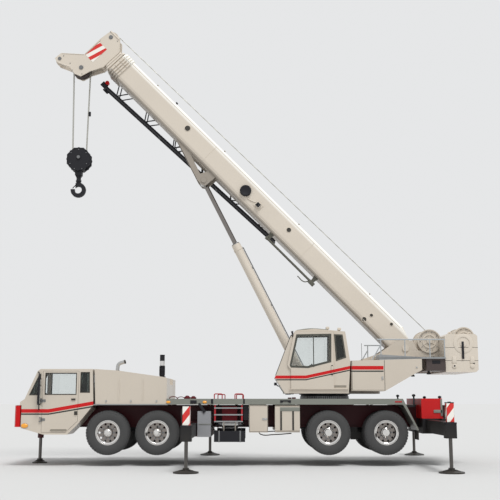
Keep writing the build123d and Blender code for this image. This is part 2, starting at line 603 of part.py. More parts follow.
# ---------------------------------------------------------------- upper frame
CHEEK = [
    (-900, 1740), (-900, 2010), (-1500, 2120), (-3300, 2720), (-3800, 3060), (-4180, 3060), (-4330, 2800),
    (-5620, 2950), (-5620, 2760), (-4846, 2760), (-4846, 2330), (-4240, 2290), (-3317, 1776), (-3100, 1740),
]
CHEEK_Y = (BASE_W / 2 + 50.0, BASE_W / 2 + 90.0)
WALK_Z = 2600.0             # top of the rear walkways
RAIL_TOP_Z = 3030.0
WINCH = ((-4615.0, 3041.0, 300.0), (-5495.0, 3130.0, 270.0))
SIDE_BOX = [(-2510, 1786), (-3317, 1776), (-4111, 2224), (-4240, 2286), (-4240, 2572), (-3201, 2640), (-3201, 2530), (-2510, 2514)]
SIDE_HOLLOW = [(-2525, 1802), (-3312, 1792), (-4100, 2236), (-4225, 2296), (-4225, 2556), (-3216, 2624), (-3216, 2516), (-2525, 2500)]
with BuildPart() as upper_frame:
    for side in (1, -1):
        y = tuple(sorted((side * CHEEK_Y[0], side * CHEEK_Y[1])))
        side_plate(CHEEK, y)
        side_plate(SIDE_BOX, tuple(sorted((side * CHEEK_Y[1], side * HOOD_Y))))
        side_plate(SIDE_HOLLOW, tuple(sorted((side * (CHEEK_Y[1] + 15), side * (HOOD_Y - 15)))), mode=Mode.SUBTRACT)
        for x, z, r in WINCH:
            cross_pin(x, z, y, r)
            slab((x - 160, x + 160), y, (2780, z))
            ring(x, z, tuple(sorted((side * (CHEEK_Y[1] - 5), side * (CHEEK_Y[1] + 28)))), r, r - 30)
        for x in (-1050.0, -2250.0):
            slab((x - 60, x + 60), tuple(sorted((side * CHEEK_Y[1], side * (HALF_WIDTH - 50)))), (1705, 1723))
            slab((x - 60, x + 60), tuple(sorted((side * CHEEK_Y[1], side * CAB_Y[0]))), (1723, 1980))
        # rear walkway on the side box and the oil tank, with its hand rail
        y = tuple(sorted((side * 640, side * HOOD_Y)))
        side_plate([(-3201, 2625), (-3201, 2665), (-4240, WALK_Z), (-4830, WALK_Z), (-4830, 2560), (-4240, 2560)], y)
        slab((-4820, -4357), tuple(sorted((side * (CHEEK_Y[1] - 5), side * (HOOD_Y - 40)))), (2270, 2565))
        rail_y = side * (HOOD_Y - 25)
        for x in (-3250.0, -3840.0, -4450.0, -4810.0):
            bar((x, rail_y, 2585), (x, rail_y, RAIL_TOP_Z), 14)
        bar((-3155, rail_y, RAIL_TOP_Z), (-4830, rail_y, RAIL_TOP_Z), 16)
        bar((-3022, rail_y, 2515), (-3250, rail_y, 2900), 14)
    slab((-3317, -900), (-CHEEK_Y[1], CHEEK_Y[1]), (1722, 1776))
    spun_up([(0, 1700 + SEAT_GAP), (BEARING_R + 40, 1700 + SEAT_GAP), (BEARING_R + 40, 1722), (0, 1722)], SWING_X, 0)
    slab((-4300, -3400), (-CHEEK_Y[1], CHEEK_Y[1]), (2300, 2330))
    slab((-4846, -4780), (-CHEEK_Y[1], CHEEK_Y[1]), (2340, 2740))
    # lift cylinder foot
    for side in (1, -1):
        slab((CYL_BASE_X - 130, CYL_BASE_X + 130), tuple(sorted((side * 125, side * 170))), (1776, CYL_BASE_Z + 110))
    cross_pin(CYL_BASE_X, CYL_BASE_Z, (-180, 180), 45 + FIT, mode=Mode.SUBTRACT)
    # boom foot bores
    cross_pin(PIVOT_X, PIVOT_Z, (-CHEEK_Y[1] - 30, CHEEK_Y[1] + 30), 60 + FIT, mode=Mode.SUBTRACT)
    for x, z, r in WINCH:
        cross_pin(x, z, (-CHEEK_Y[1] - 30, CHEEK_Y[1] + 30), 40 + FIT, mode=Mode.SUBTRACT)
keep(upper_frame, "upper_frame")

# ---------------------------------------------------------------- counterweight
with BuildPart() as counterweight:
    side_plate([(-4846, 2241), (-4846, 3120), (-4900, 3170), (-5600, 3170), (TAIL_X, 3120), (TAIL_X, 2300), (-5590, 2241)], (150 - HALF_WIDTH, HALF_WIDTH - 150))
    slab((-5700, -4800), (-440, 440), (2760, 3300), mode=Mode.SUBTRACT)
keep(counterweight, "counterweight")

# ---------------------------------------------------------------- winch drums
with BuildPart() as winch_drums:
    for x, z, r in WINCH:
        spun(
            [(-300, 0), (-300, r - 20), (-280, r - 20), (-270, 170), (270, 170), (280, r - 20), (300, r - 20), (300, 0)],
            x, z,
        )
        cross_pin(x, z, (-CHEEK_Y[1] - 2, CHEEK_Y[1] + 2), 40)
keep(winch_drums, "winch_drums")

# ---------------------------------------------------------------- operator's cab
OPERATOR_OUTLINE = [
    (-890, 1723), (-779, 1908), (-654, 2098), (-909, 2760), (-1037, 3084), (-1163, 3246), (-1619, 3290),
    (-2379, 3222), (-2490, 2480), (-2440, 1723),
]
OPERATOR_INNER = [
    (-915, 1763), (-817, 1928), (-698, 2102), (-946, 2746), (-1073, 3066), (-1185, 3208), (-1620, 3249),
    (-2343, 3184), (-2449, 2482), (-2401, 1763),
]
SIDE_WINDOW = [(-1150, 3150), (-2035, 3165), (-2024, 2475), (-1455, 2332), (-1010, 2332), (-965, 2400)]
REAR_WINDOW = [(-2103, 3158), (-2314, 3148), (-2392, 2584), (-2141, 2500)]
with BuildPart() as operator_cab:
    side_plate(OPERATOR_OUTLINE, CAB_Y)
    side_plate(OPERATOR_INNER, (CAB_Y[0] + CAB_WALL, CAB_Y[1] - CAB_WALL), mode=Mode.SUBTRACT)
    side_plate([(-640, 2180), (-760, 2180), (-1130, 3130), (-1010, 3170)], (CAB_Y[0] + 60, CAB_Y[1] - 60), mode=Mode.SUBTRACT)
    side_plate([(-1250, 3200), (-1250, 3300), (-1900, 3320), (-1900, 3180)], (CAB_Y[0] + 120, CAB_Y[1] - 120), mode=Mode.SUBTRACT)
    side_plate([(-2330, 3120), (-2500, 3120), (-2500, 2560), (-2400, 2560)], (CAB_Y[0] + 120, CAB_Y[1] - 120), mode=Mode.SUBTRACT)
    side_plate(SIDE_WINDOW, (CAB_Y[0] - 5, CAB_Y[0] + CAB_WALL + 5), mode=Mode.SUBTRACT)
    side_plate(REAR_WINDOW, (CAB_Y[0] - 5, CAB_Y[1] + 5), mode=Mode.SUBTRACT)
    side_plate(
        [(-1180, 3190), (-2060, 3205), (-2060, 1850), (-1060, 1850), (-1060, 2300), (-985, 2390)],
        (CAB_Y[1] - CAB_WALL - 5, CAB_Y[1] + 5), mode=Mode.SUBTRACT,
    )
    # the sliding door stands on a rail
    slab((-2430, -1000), (CAB_Y[1], CAB_Y[1] + DOOR_GAP + 36), (1820, 1840 - SEAT_GAP))
keep(operator_cab, "operator_cab")

with BuildPart() as operator_glass:
    side_plate([(-702, 2180), (-708, 2180), (-1076, 3130), (-1070, 3130)], (CAB_Y[0] + 60, CAB_Y[1] - 60))
    side_plate([(-1260, 3226), (-1260, 3232), (-1890, 3248), (-1890, 3242)], (CAB_Y[0] + 120, CAB_Y[1] - 120))
    side_plate([(-2366, 3120), (-2372, 3120), (-2458, 2560), (-2452, 2560)], (CAB_Y[0] + 120, CAB_Y[1] - 120))
    side_plate(SIDE_WINDOW, (CAB_Y[0] + 16, CAB_Y[0] + 22))
    side_plate(REAR_WINDOW, (CAB_Y[0] + 16, CAB_Y[0] + 22))
    side_plate(REAR_WINDOW, (CAB_Y[1] - 22, CAB_Y[1] - 16))
keep(operator_glass, "operator_glass")

with BuildPart() as operator_door:
    side_plate(
        [(-1130, 3215), (-2080, 3215), (-2080, 1840), (-1040, 1840), (-1040, 2300), (-955, 2400)],
        (CAB_Y[1] + DOOR_GAP, CAB_Y[1] + DOOR_GAP + 30),
    )
    side_plate(
        [(-1180, 3150), (-2035, 3165), (-2024, 2475), (-1455, 2332), (-1040, 2345), (-1010, 2400)],
        (CAB_Y[1], CAB_Y[1] + 50), mode=Mode.SUBTRACT,
    )
    slab((-2060, -2020), (CAB_Y[1] + DOOR_GAP + 30, CAB_Y[1] + DOOR_GAP + 50), (2180, 2380))
    side_plate(
        [(-1180.6, 3149.4), (-2034.4, 3164.4), (-2023.4, 2475.6), (-1455, 2332.7), (-1040, 2345.7), (-1010.6, 2400.6)],
        (CAB_Y[1] + 18, CAB_Y[1] + 24),
    )
keep(operator_door, "operator_door")

with BuildPart() as operator_interior:
    slab((-2000, -1700), (SEAT_Y - 150, SEAT_Y + 150), (1763, 2060))
    side_plate([(-1550, 2060), (-2080, 2060), (-2250, 2800), (-2160, 2820), (-2030, 2190), (-1550, 2180)], (SEAT_Y - 230, SEAT_Y + 230))
    for y in ((SEAT_Y - 325, SEAT_Y - 245), (SEAT_Y + 255, SEAT_Y + 335)):
        slab((-2000, -1500), y, (1763, 2280))
    side_plate([(-1000, 1763), (-1120, 1763), (-1080, 2250), (-850, 2350), (-820, 2180), (-850, 1900)], (SEAT_Y - 150, SEAT_Y + 150))
keep(operator_interior, "operator_interior")

# ---------------------------------------------------------------- boom sections
def wear_pads(along, width, low, reach):
    """Pads inside a section's mouth, on both sides and below, that guide the next one in."""
    for side in (1, -1):
        inner = width / 2 - BOOM_WALL - SECTION_STEP + PAD_PLAY
        boom_box(along, tuple(sorted((side * inner, side * (width / 2 - BOOM_WALL)))), (reach[0], reach[1]))
    boom_box(along, (-reach[2], reach[2]), (low + BOOM_WALL, low + BOOM_WALL + SECTION_STEP - PAD_PLAY))


with BuildPart() as boom_base:
    boom_tube((-260, BASE_LEN), BASE_W, BASE_H, 60, BOOM_WALL)
    for rib in range(4):
        along = BASE_LEN - 320 + 80 * rib
        boom_tube((along, along + 40), BASE_W + 60, BASE_H + 60, 70, 42)
    # the foot's top slopes down so that it clears the main winch
    boom_plate(
        [(-270, 100), (420, BASE_TOP + 1), (420, BASE_TOP + 40), (-270, BASE_TOP + 40)],
        (-BASE_W / 2 - 20, BASE_W / 2 + 20), mode=Mode.SUBTRACT,
    )
    boom_plate([(-260, 92), (420, BASE_TOP - 10), (420, BASE_TOP), (-260, 102)], (-BASE_W / 2, BASE_W / 2))
    boom_box((-260, -240), (5 - BASE_W / 2, BASE_W / 2 - 5), (BASE_LOW + 10, 100))
    for side in (1, -1):
        cross_pin(PIVOT_X, PIVOT_Z, tuple(sorted((side * (BASE_W / 2 - 5), side * FOOT_Y))), TRUNNION_R + 16)
        cross_pin(
            PIVOT_X, PIVOT_Z, tuple(sorted((side * (BASE_W / 2 - 15), side * (FOOT_Y + 8)))), TRUNNION_R + FIT,
            mode=Mode.SUBTRACT,
        )
        # bracket that holds the lift cylinder's eye
        cheek = tuple(sorted((side * (BASE_W / 2 - 90), side * (BASE_W / 2 - 50))))
        boom_plate([(6640, BASE_LOW + 8), (8150, BASE_LOW + 8), (6930, -680), (6760, -700), (6660, -640)], cheek)
        boom_plate([(6900, -330), (7550, -330), (6990, -520)], cheek, mode=Mode.SUBTRACT)
        cross_pin(
            boom_point(EYE_S, EYE_N)[0], boom_point(EYE_S, EYE_N)[2],
            tuple(sorted((side * (BASE_W / 2 - 100), side * (BASE_W / 2 - 30)))), 70,
        )
    wear_pads((BASE_LEN - 200, BASE_LEN - 10), BASE_W, BASE_LOW, (-150, 210, 180))
    # round cover and work lamp on the left wall, and the rest beam slung below it
    cover = boom_point(5800, 0)
    cross_pin(cover[0], cover[2], (BASE_W / 2 - 5, BASE_W / 2 + 60), 95)
    boom_box((5240, 5350), (BASE_W / 2 - 5, BASE_W / 2 + 70), (-95, 15))
    for along in (2880.0, 4500.0):
        boom_plate(
            [(along - 70, BASE_LOW + 6), (along + 70, BASE_LOW + 6), (along + 30, BASE_LOW - 215), (along - 30, BASE_LOW - 215)],
            (BASE_W / 2 - 95, BASE_W / 2 - 75),
        )
    bar(boom_point(2840, BASE_LOW - 180, BASE_W / 2 - 85), boom_point(4540, BASE_LOW - 180, BASE_W / 2 - 85), 30)
keep(boom_base, "boom_base")

# the foot turns on a thick steel trunnion, whose pins run in the upper frame's cheeks
with BuildPart() as boom_foot_pin:
    cross_pin(PIVOT_X, PIVOT_Z, (-FOOT_Y, FOOT_Y), TRUNNION_R)
    cross_pin(PIVOT_X, PIVOT_Z, (-CHEEK_Y[1] - 25, CHEEK_Y[1] + 25), 60)
    for side in (1, -1):
        cross_pin(PIVOT_X, PIVOT_Z, tuple(sorted((side * (CHEEK_Y[1] + 1), side * (CHEEK_Y[1] + 25)))), 85)
keep(boom_foot_pin, "boom_foot_pin")

# name, tail along the boom, mouth beyond the base section's, corner radius, collar height over the wall,
# half height and half width of its pads
TUBES = (
    ("boom_mid_1", 450.0, 80.0, 50.0, 35.0, 160.0, 150.0),
    ("boom_mid_2", 550.0, 160.0, 45.0, 30.0, 140.0, 120.0),
    ("boom_tip", 650.0, 260.0, 40.0, 0.0, 0.0, 100.0),
)
# cheek outline beyond the base section's mouth, and above the pin line
HEAD = [
    (190, 300), (450, 560), (800, 560), (840, 200), (820, -430), (1290, -860), (1300, -1080),
    (1150, -1110), (820, -960), (600, -1000), (430, -930), (350, -640), (190, -330),
]
width = BASE_W
height = BASE_H
for name, tail, mouth, corner, collar, pad_half, rest_half in TUBES:
    width = width - 2 * BOOM_WALL - 2 * SECTION_STEP
    height = height - 2 * BOOM_WALL - 2 * SECTION_STEP
    top = BOOM_MID_N + height / 2
    end = BASE_LEN + mouth
    with BuildPart() as section:
        boom_tube((tail, end), width, height, corner, BOOM_WALL)
        boom_box((tail + 10, tail + 250), (-rest_half, rest_half), (top, top + SECTION_STEP - PAD_PLAY))
        if collar:
            boom_tube((end - 50, end), width + 2 * collar, height + 2 * collar, corner + 10, collar + BOOM_WALL)
            wear_pads(
                (end - 190, end - 10), width, BOOM_MID_N - height / 2,
                (BOOM_MID_N - pad_half, BOOM_MID_N + pad_half, rest_half),
            )
        else:
            for side in (1, -1):
                boom_plate([(BASE_LEN + s, n) for s, n in HEAD], tuple(sorted((side * 160, side * 190))))
                # stiffener ribs along the cheek's edges
                boom_box((BASE_LEN + 460, BASE_LEN + 800), tuple(sorted((side * 185, side * 205))), (525, 545))
                boom_box((BASE_LEN + 800, BASE_LEN + 820), tuple(sorted((side * 185, side * 205))), (-400, 150))
            boom_box((BASE_LEN + 190, end), (-190, 190), (-330, 300))
            # front plate, and guards over the upper and lower sheaves
            boom_box((BASE_LEN + 802, BASE_LEN + 818), (-165, 165), (-380, 180))
            boom_box((BASE_LEN + 480, BASE_LEN + 500), (-165, 165), (150, 545))
            boom_box((BASE_LEN + 1262, BASE_LEN + 1278), (-165, 165), (-1060, -900))
            for s, n, r, half in ((602, SHEAVE_N, 0, 0), (670, 421, 200, 70), (1200, -990, 130, 40)):
                middle = boom_point(BASE_LEN + s, n)
                cross_pin(middle[0], middle[2], (-200, 200), 40)
                if r:
                    spun([(-half, 0), (-half, r), (12 - half, r), (-half / 3, r - 28), (half / 3, r - 28), (half - 12, r), (half, r), (half, 0)], middle[0], middle[2])
    keep(section, name)

with BuildPart() as head_sheaves:
    spun(
        [(-90, 60), (-90, SHEAVE_R), (-80, SHEAVE_R), (-67, HEAD_GROOVE_R), (-43, HEAD_GROOVE_R), (-30, SHEAVE_R),
         (-20, SHEAVE_R), (-20, 150), (20, 150), (20, SHEAVE_R), (30, SHEAVE_R), (43, HEAD_GROOVE_R), (67, HEAD_GROOVE_R),
         (80, SHEAVE_R), (90, SHEAVE_R), (90, 60)],
        boom_point(SHEAVE_S, SHEAVE_N)[0], boom_point(SHEAVE_S, SHEAVE_N)[2],
    )
    cross_pin(boom_point(SHEAVE_S, SHEAVE_N)[0], boom_point(SHEAVE_S, SHEAVE_N)[2], (-120, 120), 70)
    cross_pin(
        boom_point(SHEAVE_S, SHEAVE_N)[0], boom_point(SHEAVE_S, SHEAVE_N)[2], (-130, 130), 40 + FIT,
        mode=Mode.SUBTRACT,
    )
keep(head_sheaves, "head_sheaves")

# ---------------------------------------------------------------- lift cylinder
EYE = boom_point(EYE_S, EYE_N)
CYL_DX = EYE[0] - CYL_BASE_X
CYL_DZ = EYE[2] - CYL_BASE_Z
CYL_LEN = hypot(CYL_DX, CYL_DZ)
CYL_UX = CYL_DX / CYL_LEN
CYL_UZ = CYL_DZ / CYL_LEN
BARREL_LEN = 4150.0


def cyl_point(along):
    return (CYL_BASE_X + along * CYL_UX, 0, CYL_BASE_Z + along * CYL_UZ)


with BuildPart() as lift_foot_pin:
    cross_pin(CYL_BASE_X, CYL_BASE_Z, (-172, 172), 45)
keep(lift_foot_pin, "lift_foot_pin")

with BuildPart() as lift_barrel:
    bar(cyl_point(60), cyl_point(BARREL_LEN), 118)
    cross_pin(CYL_BASE_X, CYL_BASE_Z, (-118, 118), 95)
    bar(cyl_point(150), cyl_point(BARREL_LEN + 10), 100, mode=Mode.SUBTRACT)
    bar(cyl_point(BARREL_LEN - 160), cyl_point(BARREL_LEN), 118)
    bar(cyl_point(BARREL_LEN - 170), cyl_point(BARREL_LEN + 10), 60 + FIT, mode=Mode.SUBTRACT)
    cross_pin(CYL_BASE_X, CYL_BASE_Z, (-130, 130), 45 + FIT, mode=Mode.SUBTRACT)
keep(lift_barrel, "lift_barrel")

with BuildPart() as lift_rod:
    bar(cyl_point(CYL_LEN - 4000), cyl_point(CYL_LEN - 60), 60)
    cross_pin(EYE[0], EYE[2], (-120, 120), 110)
keep(lift_rod, "lift_rod")

with BuildPart() as lift_piston:
    bar(cyl_point(CYL_LEN - 4130), cyl_point(CYL_LEN - 4000 - SEAT_GAP), 100 - FIT)
keep(lift_piston, "lift_piston")

# ---------------------------------------------------------------- stowed lattice jib, right of the boom
JIB_Y = (-BASE_W / 2 - 550.0, -BASE_W / 2 - 150.0)
JIB_S = (4400.0, BASE_LEN + 100.0)
JIB_LEN = JIB_S[1] - JIB_S[0]
JIB_BAYS = 12


def jib_top(along):
    """Height of the jib's upper chord above the boom's pin line."""
    return 100 + 200 * (along - JIB_S[0]) / JIB_LEN


def jib_low(along):
    """Height of the jib's lower chord above the boom's pin line."""
    return -290 - 270 * (along - JIB_S[0]) / JIB_LEN


with BuildPart() as fly_jib:
    for y in JIB_Y:
        for height_at in (jib_top, jib_low):
            bar(boom_point(JIB_S[0], height_at(JIB_S[0]), y), boom_point(JIB_S[1], height_at(JIB_S[1]), y), 32)
        for bay in range(JIB_BAYS):
            near = JIB_S[0] + bay * JIB_LEN / JIB_BAYS
            far = JIB_S[0] + (bay + 1) * JIB_LEN / JIB_BAYS
            if bay % 2 == 0:
                bar(boom_point(near, jib_top(near), y), boom_point(far, jib_low(far), y), 16)
            else:
                bar(boom_point(near, jib_low(near), y), boom_point(far, jib_top(far), y), 16)
    for third in range(4):
        s = JIB_S[0] + third * JIB_LEN / 3
        for n in (jib_top(s), jib_low(s)):
            bar(boom_point(s, n, JIB_Y[0]), boom_point(s, n, JIB_Y[1]), 25)
    for s in (5200.0, BASE_LEN - 1000.0):
        n = jib_top(s)
        boom_box((s - 60, s + 60), (JIB_Y[1] - 20, -BASE_W / 2 - SEAT_GAP), (n - 35, n + 35))
keep(fly_jib, "fly_jib")

# ---------------------------------------------------------------- hoist falls and hook block
SHEAVE = boom_point(SHEAVE_S, SHEAVE_N)
with BuildPart() as hoist_falls:
    for side in (1, -1):
        for y in FALLS_Y:
            bar(
                (SHEAVE[0] + side * (BLOCK_GROOVE_R + ROPE_R + SEAT_GAP), y, BLOCK_PIN_Z),
                (SHEAVE[0] + side * (HEAD_GROOVE_R + ROPE_R + SEAT_GAP), y, SHEAVE[2]), ROPE_R,
            )
keep(hoist_falls, "hoist_falls")

HX = SHEAVE[0]
with BuildPart() as hook_block:
    for y in (-95, 130):
        with BuildSketch(Plane(origin=(HX, y, 7910), x_dir=(1, 0, 0), z_dir=(0, -1, 0))) as cheek:
            RegularPolygon(337, 8, rotation=22.5)
        extrude(cheek.sketch, amount=35)
    cross_pin(HX, BLOCK_PIN_Z, (-150, 150), 55)
    for y in FALLS_Y:
        spun(
            [(y - 35, 40), (y - 35, BLOCK_GROOVE_R + 26), (y - 25, BLOCK_GROOVE_R + 26), (y - 12, BLOCK_GROOVE_R),
             (y + 12, BLOCK_GROOVE_R), (y + 25, BLOCK_GROOVE_R + 26), (y + 35, BLOCK_GROOVE_R + 26), (y + 35, 40)],
            HX, BLOCK_PIN_Z,
        )
    slab((HX - 150, HX + 150), (-96, 96), (7600, 7720))
    slab((HX - 90, HX + 90), (-90, 90), (7480, 7620))
    bar((HX, 0, 7300), (HX, 0, 7490), 60)
    with BuildSketch(Plane(origin=(0, 40, 0), x_dir=(1, 0, 0), z_dir=(0, -1, 0))) as hook:
        with Locations((HX, 7083)):
            Circle(200)
            Circle(95, mode=Mode.SUBTRACT)
        with Locations((HX, 7260)):
            Rectangle(110, 120)
        with Locations((HX + 150, 7190)):
            Rectangle(150, 170, mode=Mode.SUBTRACT)
    extrude(hook.sketch, amount=80)
keep(hook_block, "hook_block")
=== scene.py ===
"""Finishes and fittings of a four-axle mobile crane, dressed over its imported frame."""
import logging
from dataclasses import dataclass, field
from enum import Enum
from math import atan2, cos, exp, pi, radians, sin
from typing import Iterable, Mapping, Self, Sequence

import bpy
from mathutils import Matrix, Vector


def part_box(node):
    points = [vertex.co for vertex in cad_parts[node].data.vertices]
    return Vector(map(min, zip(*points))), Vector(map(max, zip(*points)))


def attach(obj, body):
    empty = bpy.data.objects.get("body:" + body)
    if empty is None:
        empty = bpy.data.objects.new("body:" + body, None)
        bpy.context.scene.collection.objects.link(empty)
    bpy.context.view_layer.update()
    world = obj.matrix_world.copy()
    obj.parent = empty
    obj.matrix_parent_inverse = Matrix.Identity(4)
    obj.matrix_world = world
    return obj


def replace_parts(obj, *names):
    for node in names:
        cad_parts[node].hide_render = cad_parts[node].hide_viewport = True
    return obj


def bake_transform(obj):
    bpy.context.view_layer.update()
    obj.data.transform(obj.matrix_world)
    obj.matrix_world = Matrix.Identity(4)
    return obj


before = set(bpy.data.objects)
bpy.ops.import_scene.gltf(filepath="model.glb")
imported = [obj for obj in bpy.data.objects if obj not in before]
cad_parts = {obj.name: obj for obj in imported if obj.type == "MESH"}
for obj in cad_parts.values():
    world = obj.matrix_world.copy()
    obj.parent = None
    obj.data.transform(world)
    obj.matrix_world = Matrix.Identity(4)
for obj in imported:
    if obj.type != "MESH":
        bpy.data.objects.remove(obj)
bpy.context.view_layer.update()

LOG = logging.getLogger("crane")

Point = tuple[float, float, float]
Colour = tuple[float, float, float, float]
Tree = bpy.types.NodeTree
Socket = bpy.types.NodeSocket
Recipe = tuple[dict, dict]
Outline = Sequence[tuple[float, float]]

RGBA = {"data_type": "RGBA"}
MULTIPLY = {"operation": "MULTIPLY"}
MULTIPLY_ADD = {"operation": "MULTIPLY_ADD"}
SUBTRACT = {"operation": "SUBTRACT"}

SEAT_MIDDLE = 0.845     # Y of both seats and of what stands in front of them
SWING_X = -1.95        # X of the turntable's axis
CAB_INNER, CAB_OUTER = 0.45, 1.24       # Y of both cabs' side walls


# ------------------------------------------------------------------ colour and node helpers
def linear(code: str) -> Colour:
    """Turn an sRGB hex code into linear RGBA.

    Args:
        code: Six hex digits, with or without a leading hash.

    Returns:
        Linear red, green, blue and an alpha of 1.
    """
    digits = code.lstrip("#")
    channels = [int(digits[i:i + 2], 16) / 255 for i in (0, 2, 4)]
    lit = [c / 12.92 if c <= 0.04045 else ((c + 0.055) / 1.055) ** 2.4 for c in channels]
    return (lit[0], lit[1], lit[2], 1.0)


def scaled(colour: Colour, factor: float) -> Colour:
    """Return a colour made darker or paler by a factor."""
    return tuple(min(1.0, c * factor) for c in colour[:3]) + (1.0,)


def add_node(
    tree: Tree, kind: str, values: dict | None = None, links: dict | None = None, props: dict | None = None,
) -> bpy.types.Node:
    """Add one shader node with its settings and links.

    Args:
        tree: The material's node tree.
        kind: Blender's name for the node type, without its ShaderNode in front.
        values: Constant socket values, by socket name or index.
        links: Output sockets that feed this node, by input name or index.
        props: Node properties by name.

    Returns:
        The new node.
    """
    node = tree.nodes.new("ShaderNode" + kind)
    for name, value in (props or {}).items():
        setattr(node, name, value)
    for key, value in (values or {}).items():
        node.inputs[key].default_value = value
    for key, socket in (links or {}).items():
        tree.links.new(socket, node.inputs[key])
    return node


class Slot(Enum):
    """The record's material slots."""

    CREAM = "cream_paint"
    RED = "red_paint"
    MAROON = "maroon_paint"
    BLACK = "black_steel"
    RUBBER = "tyre_rubber"
    ALLOY = "rim_aluminium"
    GREY = "deck_grey"
    GLASS = "glass"
    TRIM = "trim_plastic"
    STEEL = "jack_steel"
    CHROME = "chrome_rod"
    ROPE = "wire_rope"


# ------------------------------------------------------------------ finishes
@dataclass(frozen=True)
class Band:
    """A painted band that runs level and then climbs past a knee towards the tail.

    z is the band's underside ahead of the knee, climb its rise per metre behind it, and
    reach the X range that carries it.
    """

    colour: str
    z: float
    height: float
    knee: float
    climb: float
    reach: tuple[float, float]


@dataclass(frozen=True)
class Patch:
    """A box-shaped region of one colour."""

    colour: str
    low: Point
    high: Point


@dataclass(frozen=True)
class Seam:
    """A dark panel joint: a thin line across one axis, kept within a range of the other."""

    axis: str
    at: float
    reach: tuple[float, float]


@dataclass(frozen=True)
class Finish:
    """What every finish has: a material name and the record's slot."""

    name: str
    slot: Slot

    def material(self) -> bpy.types.Material:
        """Return the material, built the first time that it is asked for.

        Returns:
            The material that goes by the name of the finish.
        """
        made = bpy.data.materials.get(self.name)
        if made is None:
            made = bpy.data.materials.new(self.name)
            made.use_nodes = True
            tree = made.node_tree
            tree.nodes.clear()
            place = add_node(tree, "TexCoord").outputs["Object"]
            shader = add_node(tree, "BsdfPrincipled", *self.surface(tree, place))
            add_node(tree, "OutputMaterial", links={"Surface": shader.outputs["BSDF"]})
        return made

    def surface(self, tree: Tree, place: Socket) -> Recipe:
        """Return the shader's values and links; each kind of finish has its own."""
        raise NotImplementedError


